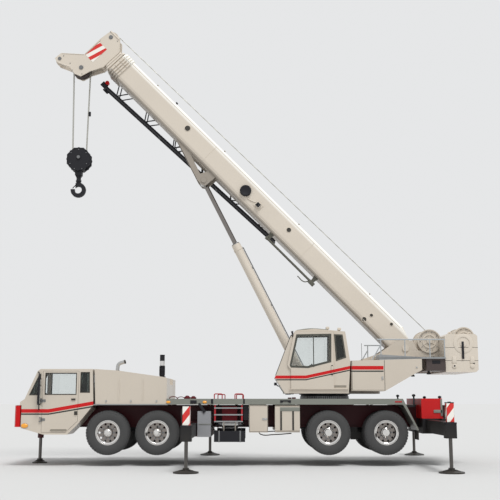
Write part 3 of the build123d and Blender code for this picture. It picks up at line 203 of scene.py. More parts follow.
@dataclass(frozen=True)
class Enamel(Finish):
    """Sprayed two-pack enamel on plate: soft gloss, slight drift in tone, dust that gathers low down."""

    colour: str = "#d8cdbd"
    roughness: float = 0.36
    coat: float = 0.25
    specular: float = 0.2
    metallic: float = 0.0
    dust: str = "#8c8274"
    dust_top: float = 1.1       # height in metres where the road dust ends
    dust_amount: float = 0.16
    joint_tone: str = "#3a352f"
    bands: tuple[Band, ...] = ()
    patches: tuple[Patch, ...] = ()
    seams: tuple[Seam, ...] = ()

    def surface(self, tree: Tree, place: Socket) -> Recipe:
        """Mix tone drift, bands, patches, seams and dust into one coated paint.

        Args:
            tree: The material's node tree.
            place: Socket of the point's own coordinates.

        Returns:
            The shader's values and its links.
        """
        axes = add_node(tree, "SeparateXYZ", {}, {"Vector": place}).outputs
        cloud = {"Scale": 0.9, "Detail": 3.0, "Roughness": 0.5}
        drift = add_node(tree, "TexNoise", cloud, {"Vector": place}).outputs["Fac"]
        tone = linear(self.colour)
        mixed = add_node(tree, "Mix", {6: tone, 7: scaled(tone, 0.9)}, {0: drift}, RGBA).outputs[2]
        for patch in self.patches:
            mixed = self.over(tree, mixed, patch.colour, self.inside(tree, axes, patch))
        for band in self.bands:
            mixed = self.over(tree, mixed, band.colour, self.along(tree, axes, band))
        for seam in self.seams:
            mixed = self.over(tree, mixed, self.joint_tone, self.joint(tree, axes, seam), 0.75)
        # road dust; on the boom, a painted highlight and painted shade along its edges instead
        mixed = self.dust_and_painted_edges(tree, mixed, axes, place)
        # orange peel of a sprayed coat, about 4 mm across
        grain = add_node(tree, "TexNoise", {"Scale": 240.0, "Detail": 2.0}, {"Vector": place}).outputs["Fac"]
        peel = add_node(tree, "Bump", {"Strength": 0.05, "Distance": 0.0006},
                        {"Height": grain}).outputs["Normal"]
        gloss = {"From Min": 0.3, "From Max": 0.7, "To Min": self.roughness - 0.06,
                 "To Max": self.roughness + 0.08}
        wear = add_node(tree, "MapRange", gloss, {"Value": drift}).outputs["Result"]
        values = {
            "Metallic": self.metallic, "Coat Weight": self.coat, "Coat Roughness": 0.18,
            "Specular IOR Level": self.specular,
        }
        return values, {"Base Color": mixed, "Roughness": wear, "Normal": peel}

    @staticmethod
    def over(tree: Tree, under: Socket, colour: str, mask: Socket, strength: float = 1.0) -> Socket:
        """Lay a colour over another where the mask is 1.

        Args:
            tree: The material's node tree.
            under: The colour below.
            colour: Hex code of the colour on top.
            mask: 0 to 1 mask.
            strength: How opaque the top colour is.

        Returns:
            The mixed colour.
        """
        factor = add_node(tree, "Math", {1: strength}, {0: mask}, MULTIPLY).outputs[0]
        return add_node(tree, "Mix", {7: linear(colour)}, {0: factor, 6: under}, RGBA).outputs[2]

    @staticmethod
    def within(tree: Tree, value: Socket, low: float, high: float) -> Socket:
        """Return a mask that is 1 while the value lies between low and high."""
        middle, half = (low + high) / 2, (high - low) / 2
        return add_node(tree, "Math", {1: middle, 2: half}, {0: value}, {"operation": "COMPARE"}).outputs[0]

    @staticmethod
    def both(tree: Tree, masks: Sequence[Socket]) -> Socket:
        """Return the product of several masks.

        Args:
            tree: The material's node tree.
            masks: The masks to multiply.

        Returns:
            Socket of the product.
        """
        product = masks[0]
        for mask in masks[1:]:
            product = add_node(tree, "Math", {}, {0: product, 1: mask}, MULTIPLY).outputs[0]
        return product

    def inside(self, tree: Tree, axes: Mapping[str, Socket], patch: Patch) -> Socket:
        """Return the mask of a patch's box."""
        spans = zip("XYZ", patch.low, patch.high)
        return self.both(tree, [self.within(tree, axes[a], low, high) for a, low, high in spans])

    def along(self, tree: Tree, axes: Mapping[str, Socket], band: Band) -> Socket:
        """Return the mask of a painted band.

        Args:
            tree: The material's node tree.
            axes: Sockets of the point's X, Y and Z.
            band: The band to draw.

        Returns:
            The mask's socket.
        """
        behind = add_node(tree, "Math", {0: band.knee}, {1: axes["X"]}, SUBTRACT).outputs[0]
        behind = add_node(tree, "Math", {1: 0.0}, {0: behind}, {"operation": "MAXIMUM"}).outputs[0]
        foot = add_node(tree, "Math", {1: band.climb, 2: band.z}, {0: behind}, MULTIPLY_ADD).outputs[0]
        above = add_node(tree, "Math", {}, {0: axes["Z"], 1: foot}, SUBTRACT).outputs[0]
        return self.both(tree, [self.within(tree, above, 0.0, band.height),
                                self.within(tree, axes["X"], *band.reach)])

    def joint(self, tree: Tree, axes: Mapping[str, Socket], seam: Seam) -> Socket:
        """Return the mask of a panel joint, 10 mm wide.

        Args:
            tree: The material's node tree.
            axes: Sockets of the point's X, Y and Z.
            seam: The joint to draw.

        Returns:
            The mask's socket.
        """
        other = "Z" if seam.axis == "X" else "X"
        line = self.within(tree, axes[seam.axis], seam.at - 0.005, seam.at + 0.005)
        return self.both(tree, [line, self.within(tree, axes[other], *seam.reach)])

    def dust_and_painted_edges(self, tree: Tree, under: Socket, axes: Mapping[str, Socket], place: Socket) -> Socket:
        """Return the colour with road dust, thick at the ground and gone at dust_top.

        Args:
            tree: The material's node tree.
            under: Colour of the clean paint.
            axes: Sockets of the point's X, Y and Z.
            place: Socket of the point's own coordinates.

        Returns:
            Socket of the colour.
        """
        fade = {"From Min": self.dust_top, "From Max": 0.2, "To Min": 0.0, "To Max": 1.0}
        low = add_node(tree, "MapRange", fade, {"Value": axes["Z"]}).outputs["Result"]
        patchy = {"Scale": 5.0, "Detail": 5.0, "Roughness": 0.65}
        cloud = add_node(tree, "TexNoise", patchy, {"Vector": place}).outputs["Fac"]
        return self.over(tree, under, self.dust, self.both(tree, [low, cloud]), self.dust_amount * 2)


@dataclass(frozen=True)
class BoomEnamel(Enamel):
    """Sprayed enamel on the boom, with a painted highlight along its top edges and painted shade along its
    lower ones.
    """

    tilt: float = radians(45.4)
    middle: float = 4.861       # the pin line's height once the boom is laid level
    # colours of the painted highlight on the top edges and of the painted shade on the lower edges
    painted_highlight: str = "#fffdf6"
    painted_shade: str = "#5b534b"

    def dust_and_painted_edges(self, tree: Tree, under: Socket, axes: Mapping[str, Socket], place: Socket) -> Socket:
        """Return the colour with a painted highlight towards the top plate and painted shade towards the
        bottom plate.

        Args:
            tree: The material's node tree.
            under: Colour of the clean paint.
            axes: Not used.
            place: Socket of the point's own coordinates.

        Returns:
            Socket of the colour.
        """
        level = add_node(tree, "Mapping", {"Rotation": (0.0, self.tilt, 0.0)}, {"Vector": place}).outputs[0]
        height = add_node(tree, "SeparateXYZ", {}, {"Vector": level}).outputs["Z"]
        # painted highlight along the top edges, painted shade along the bottom edges
        edges = ((0.21, 0.27, self.painted_highlight, 0.8), (-0.16, -0.29, self.painted_shade, 0.6))
        for start, end, colour, strength in edges:
            fade = {"From Min": self.middle + start, "From Max": self.middle + end, "To Min": 0.0,
                    "To Max": 1.0}
            mask = add_node(tree, "MapRange", fade, {"Value": height}).outputs["Result"]
            under = self.over(tree, under, colour, mask, strength)
        return under


@dataclass(frozen=True)
class Rubber(Finish):
    """Vulcanised carbon-black rubber: matt, a shade of grey, with pale dust in its grain."""

    colour: str = "#34322f"
    dust: str = "#57534c"

    def surface(self, tree: Tree, place: Socket) -> Recipe:
        """Blend black rubber with dust by a fine noise and press its grain into the surface.

        Args:
            tree: The material's node tree.
            place: Socket of the point's own coordinates.

        Returns:
            The shader's values and its links.
        """
        patchy = {"Scale": 7.0, "Detail": 6.0, "Roughness": 0.7}
        cloud = add_node(tree, "TexNoise", patchy, {"Vector": place}).outputs["Fac"]
        shade = add_node(tree, "Mix", {6: linear(self.colour), 7: linear(self.dust)}, {0: cloud},
                         RGBA).outputs[2]
        grain = add_node(tree, "TexNoise", {"Scale": 420.0, "Detail": 3.0}, {"Vector": place}).outputs["Fac"]
        bump = add_node(tree, "Bump", {"Strength": 0.3, "Distance": 0.001},
                        {"Height": grain}).outputs["Normal"]
        return {"Roughness": 0.78, "Specular IOR Level": 0.35}, {"Base Color": shade, "Normal": bump}


@dataclass(frozen=True)
class Metal(Finish):
    """Bare metal: turned, polished or drawn, with fine tool marks and a breath of grime."""

    colour: str = "#c9c9c6"
    roughness: float = 0.25
    marks: float = 90.0         # tool marks per metre

    def surface(self, tree: Tree, place: Socket) -> Recipe:
        """Vary the gloss with stretched noise, as fine turning or drawing marks do.

        Args:
            tree: The material's node tree.
            place: Socket of the point's own coordinates.

        Returns:
            The shader's values and its links.
        """
        smear = add_node(tree, "Mapping", {"Scale": (1.0, 1.0, 6.0)}, {"Vector": place}).outputs[0]
        marks = add_node(tree, "TexNoise", {"Scale": self.marks, "Detail": 4.0},
                         {"Vector": smear}).outputs["Fac"]
        spread = {"To Min": self.roughness * 0.7, "To Max": self.roughness * 1.4}
        gloss = add_node(tree, "MapRange", spread, {"Value": marks}).outputs["Result"]
        patchy = {"Scale": 11.0, "Detail": 5.0, "Roughness": 0.6}
        grime = add_node(tree, "TexNoise", patchy, {"Vector": place}).outputs["Fac"]
        tone = linear(self.colour)
        shade = add_node(tree, "Mix", {6: tone, 7: scaled(tone, 0.72)}, {0: grime}, RGBA).outputs[2]
        bump = add_node(tree, "Bump", {"Strength": 0.08, "Distance": 0.0005},
                        {"Height": marks}).outputs["Normal"]
        return {"Metallic": 1.0}, {"Base Color": shade, "Roughness": gloss, "Normal": bump}


@dataclass(frozen=True)
class Glass(Finish):
    """Laminated safety glass, lightly or darkly tinted, with a film of dust."""

    colour: str = "#c9d2cf"
    clarity: float = 1.0

    def surface(self, tree: Tree, place: Socket) -> Recipe:
        """Let light through a tinted sheet and dull it a little with dust.

        Args:
            tree: The material's node tree.
            place: Socket of the point's own coordinates.

        Returns:
            The shader's values and its links.
        """
        film = add_node(tree, "TexNoise", {"Scale": 3.0, "Detail": 4.0}, {"Vector": place}).outputs["Fac"]
        gloss = add_node(tree, "MapRange", {"To Min": 0.01, "To Max": 0.06},
                         {"Value": film}).outputs["Result"]
        tint = linear(self.colour)
        shade = add_node(tree, "Mix", {6: tint, 7: scaled(tint, 0.93)}, {0: film}, RGBA).outputs[2]
        return {"Transmission Weight": self.clarity, "IOR": 1.45}, {"Base Color": shade, "Roughness": gloss}


@dataclass(frozen=True)
class Lens(Finish):
    """Moulded acrylic lamp lens with fine ribs that catch the light."""

    colour: str = "#e08a1e"
    # strength of the painted glow
    painted_glow: float = 0.15

    def surface(self, tree: Tree, place: Socket) -> Recipe:
        """Colour the acrylic, rib it every 8 mm and give it a faint painted glow that stands in for light
        thrown back by its reflector.

        Args:
            tree: The material's node tree.
            place: Socket of the point's own coordinates.

        Returns:
            The shader's values and its links.
        """
        wave = {"Scale": 40.0, "Distortion": 0.0}
        ribs = add_node(tree, "TexWave", wave, {"Vector": place}, {"bands_direction": "X"}).outputs["Fac"]
        bump = add_node(tree, "Bump", {"Strength": 0.4, "Distance": 0.001},
                        {"Height": ribs}).outputs["Normal"]
        tone = linear(self.colour)
        shade = add_node(tree, "Mix", {6: tone, 7: scaled(tone, 0.75)}, {0: ribs}, RGBA).outputs[2]
        values = {"Roughness": 0.12, "Coat Weight": 0.6, "Emission Strength": self.painted_glow,
                  "Emission Color": tone}
        return values, {"Base Color": shade, "Normal": bump}


@dataclass(frozen=True)
class Hazard(Finish):
    """Retro-reflective film in slanted stripes; turn is their slant, and pitch is one pair of stripes."""

    turn: float = 45.0
    pitch: float = 0.25
    offset: float = 0.0
    lengthwise: bool = False    # slants on faces that look along X
    first: str = "#cf1d16"
    second: str = "#eeeae2"

    def surface(self, tree: Tree, place: Socket) -> Recipe:
        """Cut two colours by a square wave along a turned axis, over a fine honeycomb of film cells.

        Args:
            tree: The material's node tree.
            place: Socket of the point's own coordinates.

        Returns:
            The shader's values and its links.
        """
        slant = radians(self.turn)
        turn = {"Rotation": (slant, 0.0, 0.0) if self.lengthwise else (0.0, slant, 0.0)}
        turned = add_node(tree, "Mapping", turn, {"Vector": place}).outputs[0]
        split = add_node(tree, "SeparateXYZ", {}, {"Vector": turned}).outputs["Y" if self.lengthwise else "X"]
        phase = add_node(tree, "Math", {1: 1 / self.pitch, 2: self.offset}, {0: split},
                         MULTIPLY_ADD).outputs[0]
        part = add_node(tree, "Math", {}, {0: phase}, {"operation": "FRACT"}).outputs[0]
        stripe = add_node(tree, "Math", {1: 0.5}, {0: part}, {"operation": "GREATER_THAN"}).outputs[0]
        tones = {6: linear(self.first), 7: linear(self.second)}
        shade = add_node(tree, "Mix", tones, {0: stripe}, RGBA).outputs[2]
        cells = add_node(tree, "TexVoronoi", {"Scale": 160.0}, {"Vector": place}).outputs["Distance"]
        bump = add_node(tree, "Bump", {"Strength": 0.15, "Distance": 0.0004},
                        {"Height": cells}).outputs["Normal"]
        return {"Roughness": 0.4, "Coat Weight": 0.3}, {"Base Color": shade, "Normal": bump}


@dataclass(frozen=True)
class TreadPlate(Finish):
    """Aluminium chequer plate, silver-grey, with raised bars on what faces up."""

    colour: str = "#a3a5a6"
    roughness: float = 0.45

    def surface(self, tree: Tree, place: Socket) -> Recipe:
        """Raise a diamond weave of bars, 35 mm apart, and scuff their tops.

        Args:
            tree: The material's node tree.
            place: Socket of the point's own coordinates.

        Returns:
            The shader's values and its links.
        """
        weave = []
        for slant in (radians(45.0), radians(-45.0)):
            turned = add_node(tree, "Mapping", {"Rotation": (0.0, 0.0, slant)}, {"Vector": place}).outputs[0]
            wave = {"Scale": 9.0, "Distortion": 0.0}
            weave.append(add_node(tree, "TexWave", wave, {"Vector": turned},
                                  {"bands_direction": "X"}).outputs["Fac"])
        bars = add_node(tree, "Math", {}, {0: weave[0], 1: weave[1]}, {"operation": "MAXIMUM"}).outputs[0]
        patchy = {"Scale": 6.0, "Detail": 5.0, "Roughness": 0.6}
        scuff = add_node(tree, "TexNoise", patchy, {"Vector": place}).outputs["Fac"]
        tone = linear(self.colour)
        shade = add_node(tree, "Mix", {6: tone, 7: scaled(tone, 0.7)}, {0: scuff}, RGBA).outputs[2]
        bump = add_node(tree, "Bump", {"Strength": 0.35, "Distance": 0.002},
                        {"Height": bars}).outputs["Normal"]
        return {"Metallic": 0.45, "Roughness": self.roughness}, {"Base Color": shade, "Normal": bump}


@dataclass(frozen=True)
class WireRope(Finish):
    """Galvanised steel rope: strands laid in a spiral along the rope."""

    colour: str = "#bdbbb0"

    def surface(self, tree: Tree, place: Socket) -> Recipe:
        """Draw the lay as slanted waves, 30 mm apart so that it shows.

        Args:
            tree: The material's node tree.
            place: Socket of the point's own coordinates.

        Returns:
            The shader's values and its links.
        """
        turned = add_node(tree, "Mapping", {"Rotation": (0.5, 0.6, 0.4)}, {"Vector": place}).outputs[0]
        wave = {"Scale": 10.0, "Distortion": 0.4}
        lay = add_node(tree, "TexWave", wave, {"Vector": turned}, {"bands_direction": "Z"}).outputs["Fac"]
        tone = linear(self.colour)
        shade = add_node(tree, "Mix", {6: scaled(tone, 0.45), 7: tone}, {0: lay}, RGBA).outputs[2]
        bump = add_node(tree, "Bump", {"Strength": 0.5, "Distance": 0.002}, {"Height": lay}).outputs["Normal"]
        return {"Metallic": 0.6, "Roughness": 0.5}, {"Base Color": shade, "Normal": bump}


@dataclass(frozen=True)
class Fabric(Finish):
    """Woven seat cloth over foam: threads 3 mm apart, drawn coarse enough to show, with a soft sheen."""

    colour: str = "#33363a"

    def surface(self, tree: Tree, place: Socket) -> Recipe:
        """Cross two thread waves and give the cloth its sheen.

        Args:
            tree: The material's node tree.
            place: Socket of the point's own coordinates.

        Returns:
            The shader's values and its links.
        """
        wave = {"Scale": 105.0, "Distortion": 0.6}
        threads = [
            add_node(tree, "TexWave", wave, {"Vector": place}, {"bands_direction": direction}).outputs["Fac"]
            for direction in "YZ"
        ]
        weave = add_node(tree, "Math", {}, {0: threads[0], 1: threads[1]}, MULTIPLY).outputs[0]
        tone = linear(self.colour)
        shade = add_node(tree, "Mix", {6: tone, 7: scaled(tone, 1.9)}, {0: weave}, RGBA).outputs[2]
        bump = add_node(tree, "Bump", {"Strength": 0.5, "Distance": 0.001},
                        {"Height": weave}).outputs["Normal"]
        return {"Roughness": 0.9, "Sheen Weight": 0.3}, {"Base Color": shade, "Normal": bump}


CREAM_HEX = "#cdc3b5"
BOOM_HEX = "#d8cec0"
RED_HEX = "#c41013"
STRIPE_GREY = "#3a3d3a"

CREAM = Enamel("cream_enamel_on_plate", Slot.CREAM, CREAM_HEX)
BOOM_PAINT = BoomEnamel("cream_enamel_on_boom_sections", Slot.CREAM, BOOM_HEX, dust_amount=0.0)
BOOM_CREAM = Enamel("cream_enamel_on_boom", Slot.CREAM, BOOM_HEX, dust_amount=0.0)
RED = Enamel("signal_red_enamel", Slot.RED, RED_HEX, roughness=0.42, coat=0.0, dust_amount=0.0)
MAROON = Enamel("maroon_chassis_enamel", Slot.MAROON, "#6d151d", roughness=0.5, coat=0.0, dust_amount=0.0)
BLACK = Enamel("black_chassis_enamel", Slot.BLACK, "#1f1f20", roughness=0.42, coat=0.1, dust_amount=0.1)
SATIN_BLACK = Enamel("satin_black_powder_coat", Slot.BLACK, "#26262a", roughness=0.5, coat=0.0,
                     dust_amount=0.0)
GREY = Enamel("silver_grey_enamel", Slot.GREY, "#85877f", roughness=0.4, metallic=0.2)
BROWN = Enamel("dark_brown_enamel", Slot.BLACK, "#4c4240", roughness=0.5, dust_amount=0.0)
PINK = Enamel("faded_red_grab_rail", Slot.RED, "#a8222b", roughness=0.4, dust_amount=0.0)
RUBBER = Rubber("tyre_rubber", Slot.RUBBER)
GASKET = Rubber("moulded_gasket_rubber", Slot.RUBBER, "#161616")
# the disc is a dull grey-brown, darker than bare aluminium: painted reflection of the ground below it
ALLOY = Metal("aluminium_disc_with_painted_reflection", Slot.ALLOY, "#968f8a", 0.2, 60.0)
RIM_LIP = Metal("polished_aluminium_rim", Slot.ALLOY, "#f1efec", 0.12, 60.0)
CHROME = Metal("hard_chrome_rod", Slot.CHROME, "#918c88", 0.12, 200.0)
STEEL = Metal("machined_steel", Slot.STEEL, "#8e8f90", 0.34)
STAINLESS = Metal("brushed_stainless_steel", Slot.STEEL, "#c8c8c6", 0.28, 140.0)
DECK = TreadPlate("aluminium_tread_plate", Slot.GREY)
ROPE = WireRope("galvanised_wire_rope", Slot.ROPE)
CLEAR = Glass("clear_safety_glass", Slot.GLASS, "#f4f7f6")
DARK = Glass("dark_tinted_glass", Slot.GLASS, "#4a524d", 0.85)
TRIM = Enamel("moulded_grey_plastic", Slot.TRIM, "#4a4a48", roughness=0.6, coat=0.0, dust_amount=0.0)
CLOTH = Fabric("woven_seat_cloth", Slot.TRIM)
AMBER = Lens("amber_acrylic_lens", Slot.RED, "#e39a2b", 0.25)
RED_LENS = Lens("red_acrylic_lens", Slot.RED, "#a80f12", 0.1)
CLEAR_LENS = Lens("clear_acrylic_lens", Slot.GLASS, "#e9ecec", 0.1)
RAIL_GREY = Enamel("galvanised_rail_paint", Slot.GREY, "#aeb2b4", roughness=0.6, coat=0.0, dust_amount=0.0)
SLOT_SHADE = Enamel("shaded_slot_enamel", Slot.GREY, "#8f887c", roughness=0.6, dust_amount=0.1)
STRIPE_GREY_PAINT = Enamel("grey_green_enamel", Slot.GREY, "#5d5c53", roughness=0.5, dust_amount=0.0)
MAROON_GLOSS = Enamel("maroon_gloss_enamel", Slot.MAROON, "#5c1218", roughness=0.3, dust_amount=0.0)
WINDOW_RUBBER = Rubber("grey_window_rubber", Slot.RUBBER, "#3d443f")
MIRROR = Metal("silvered_mirror_glass", Slot.GLASS, "#dfe3e4", 0.05, 20.0)
# dark grey on the jacks' chrome rods: painted reflection of their dark surroundings
JACK_ROD = Metal("oiled_jack_rod", Slot.STEEL, "#6a6764", 0.3, 120.0)
JACK_FILM = Hazard("hazard_film_on_jacks", Slot.RED, turn=38.0, pitch=0.235, offset=0.44)
JACK_FILM_SIDE = Hazard("hazard_film_on_jack_sides", Slot.RED, turn=38.0, pitch=0.235, offset=0.44,
                        lengthwise=True)
HEAD_FILM = Hazard("hazard_film_on_boom_head", Slot.RED, turn=60.0, pitch=0.207, offset=0.039)

# carrier cab: red over grey, level to a knee above the front of the door, then climbing to the rear pillar
CARRIER_CLIMB = 0.174
CARRIER_BANDS = (
    Band(RED_HEX, 1.262, 0.088, 4.82, CARRIER_CLIMB, (3.7, 5.6)),
    Band(STRIPE_GREY, 1.212, 0.036, 4.82, CARRIER_CLIMB * 0.97, (3.7, 5.6)),
)
OPERATOR_CLIMB = 0.215
OPERATOR_BANDS = (
    Band(RED_HEX, 2.078, 0.075, -1.402, OPERATOR_CLIMB, (-2.49, -0.5)),
    Band(STRIPE_GREY, 2.035, 0.03, -1.402, OPERATOR_CLIMB, (-2.49, -0.5)),
)
PANEL_BANDS = (
    Band(RED_HEX, 2.295, 0.09, -9.0, 0.0, (-3.3, -2.49)),
    Band(STRIPE_GREY, 2.24, 0.034, -9.0, 0.0, (-3.3, -2.49)),
)
CARRIER_PAINT = Enamel("cream_enamel_on_carrier_cab", Slot.CREAM, CREAM_HEX, bands=CARRIER_BANDS)
OPERATOR_PAINT = Enamel("cream_enamel_on_operator_cab", Slot.CREAM, CREAM_HEX, dust_amount=0.0,
                        bands=OPERATOR_BANDS)
UPPER_PAINT = Enamel(
    "cream_enamel_on_upper_works", Slot.CREAM, CREAM_HEX, dust_amount=0.0, bands=PANEL_BANDS,
    seams=(Seam("X", -2.52, (1.78, 2.52)), Seam("X", -3.325, (1.78, 2.6))),
)
CHASSIS_PAINT = Enamel(
    "maroon_enamel_on_chassis", Slot.MAROON, "#48131a", roughness=0.5, coat=0.1, dust_amount=0.12,
    patches=(
        Patch("#c0191b", (-4.76, -1.2, 1.12), (-4.22, 1.2, 1.62)),
        Patch("#8f9093", (0.85, 0.42, 0.6), (1.228, 1.3, 1.32)),
        Patch("#8f9093", (1.232, -1.3, 0.6), (1.5, -0.42, 1.32)),
        Patch("#202022", (-5.0, -1.3, 0.7), (-4.21, 1.3, 1.12)),
        Patch("#202022", (-2.8, -0.72, 1.462), (-1.1, 0.72, 1.72)),
    ),
)

# each CAD node's finish
NODE_FINISH: dict[str, Finish] = {
    "chassis_frame": CHASSIS_PAINT, "deck": DECK, "bumper": RED, "carrier_cab": CARRIER_PAINT,
    "carrier_door": CARRIER_PAINT,
    "carrier_glass": CLEAR, "carrier_interior": TRIM, "hood": CREAM, "drivetrain": SATIN_BLACK,
    "side_equipment": CREAM, "axles": BLACK, "upper_frame": UPPER_PAINT, "counterweight": BOOM_CREAM,
    "operator_cab": OPERATOR_PAINT, "operator_door": OPERATOR_PAINT, "operator_glass": CLEAR,
    "operator_interior": TRIM,
    "winch_drums": BOOM_CREAM, "boom_foot_pin": BOOM_CREAM, "boom_base": BOOM_PAINT, "fly_jib": SATIN_BLACK,
    "boom_mid_1": BOOM_CREAM, "boom_mid_2": BOOM_CREAM, "boom_tip": BOOM_CREAM, "head_sheaves": BROWN,
    "hoist_falls": ROPE, "hook_block": SATIN_BLACK, "lift_foot_pin": STEEL, "lift_barrel": BOOM_CREAM,
    "lift_piston": STEEL, "lift_rod": CHROME,
}
FINISH_BY_ENDING: dict[str, Finish] = {
    "_knuckle": BLACK, "_tyre": RUBBER, "_rim": ALLOY, "_beam": BLACK, "_jack": BLACK,
}


def finish_for(node: str) -> Finish:
    """Return the finish of a CAD node, by its name or by how its name ends.

    Args:
        node: Name of the CAD node.

    Returns:
        Its finish.
    """
    for ending, finish in FINISH_BY_ENDING.items():
        if node.endswith(ending):
            return finish
    return NODE_FINISH[node]


# ------------------------------------------------------------------ modelling tools
UPRIGHT: Point = (0.0, 0.0, 1.0)
ACROSS: Point = (0.0, 1.0, 0.0)
MIRRORED = Matrix.Scale(-1.0, 4, Vector(ACROSS))


def moved(x: float = 0.0, y: float = 0.0, z: float = 0.0) -> Matrix:
    """Return a shift."""
    return Matrix.Translation((x, y, z))


def turned_about(centre: Point, axis: Point, angle: float) -> Matrix:
    """Return a turn by an angle in radians about an axis through a point."""
    there = Matrix.Translation(centre)
    return there @ Matrix.Rotation(angle, 4, Vector(axis)) @ there.inverted()


def around(centre: Point, axis: Point, count: int, start: float = 0.0) -> list[Matrix]:
    """Return evenly spaced turns about an axis through a point.

    Args:
        centre: A point on the axis.
        axis: The axis.
        count: How many placements.
        start: Angle of the first, in radians.

    Returns:
        One turn for each placement.
    """
    return [turned_about(centre, axis, start + 2 * pi * i / count) for i in range(count)]


def inset(outline: Outline, width: float) -> list[tuple[float, float]]:
    """Return a flat outline pulled inwards by a width, with its corners mitred.

    Args:
        outline: The corners in order.
        width: How far each side moves inwards.

    Returns:
        The corners of the smaller outline, in the same order.
    """
    count = len(outline)
    turned = zip(outline, [*outline[1:], outline[0]])
    side = 1.0 if sum(a[0] * b[1] - b[0] * a[1] for a, b in turned) > 0 else -1.0
    pulled = []
    for i in range(count):
        here = Vector(outline[i])
        before = (here - Vector(outline[i - 1])).normalized()
        after = (Vector(outline[(i + 1) % count]) - here).normalized()
        normals = [Vector((-d.y, d.x)) * side for d in (before, after)]
        corner = here + (normals[0] + normals[1]) * (width / (1 + normals[0].dot(normals[1])))
        pulled.append((corner.x, corner.y))
    return pulled


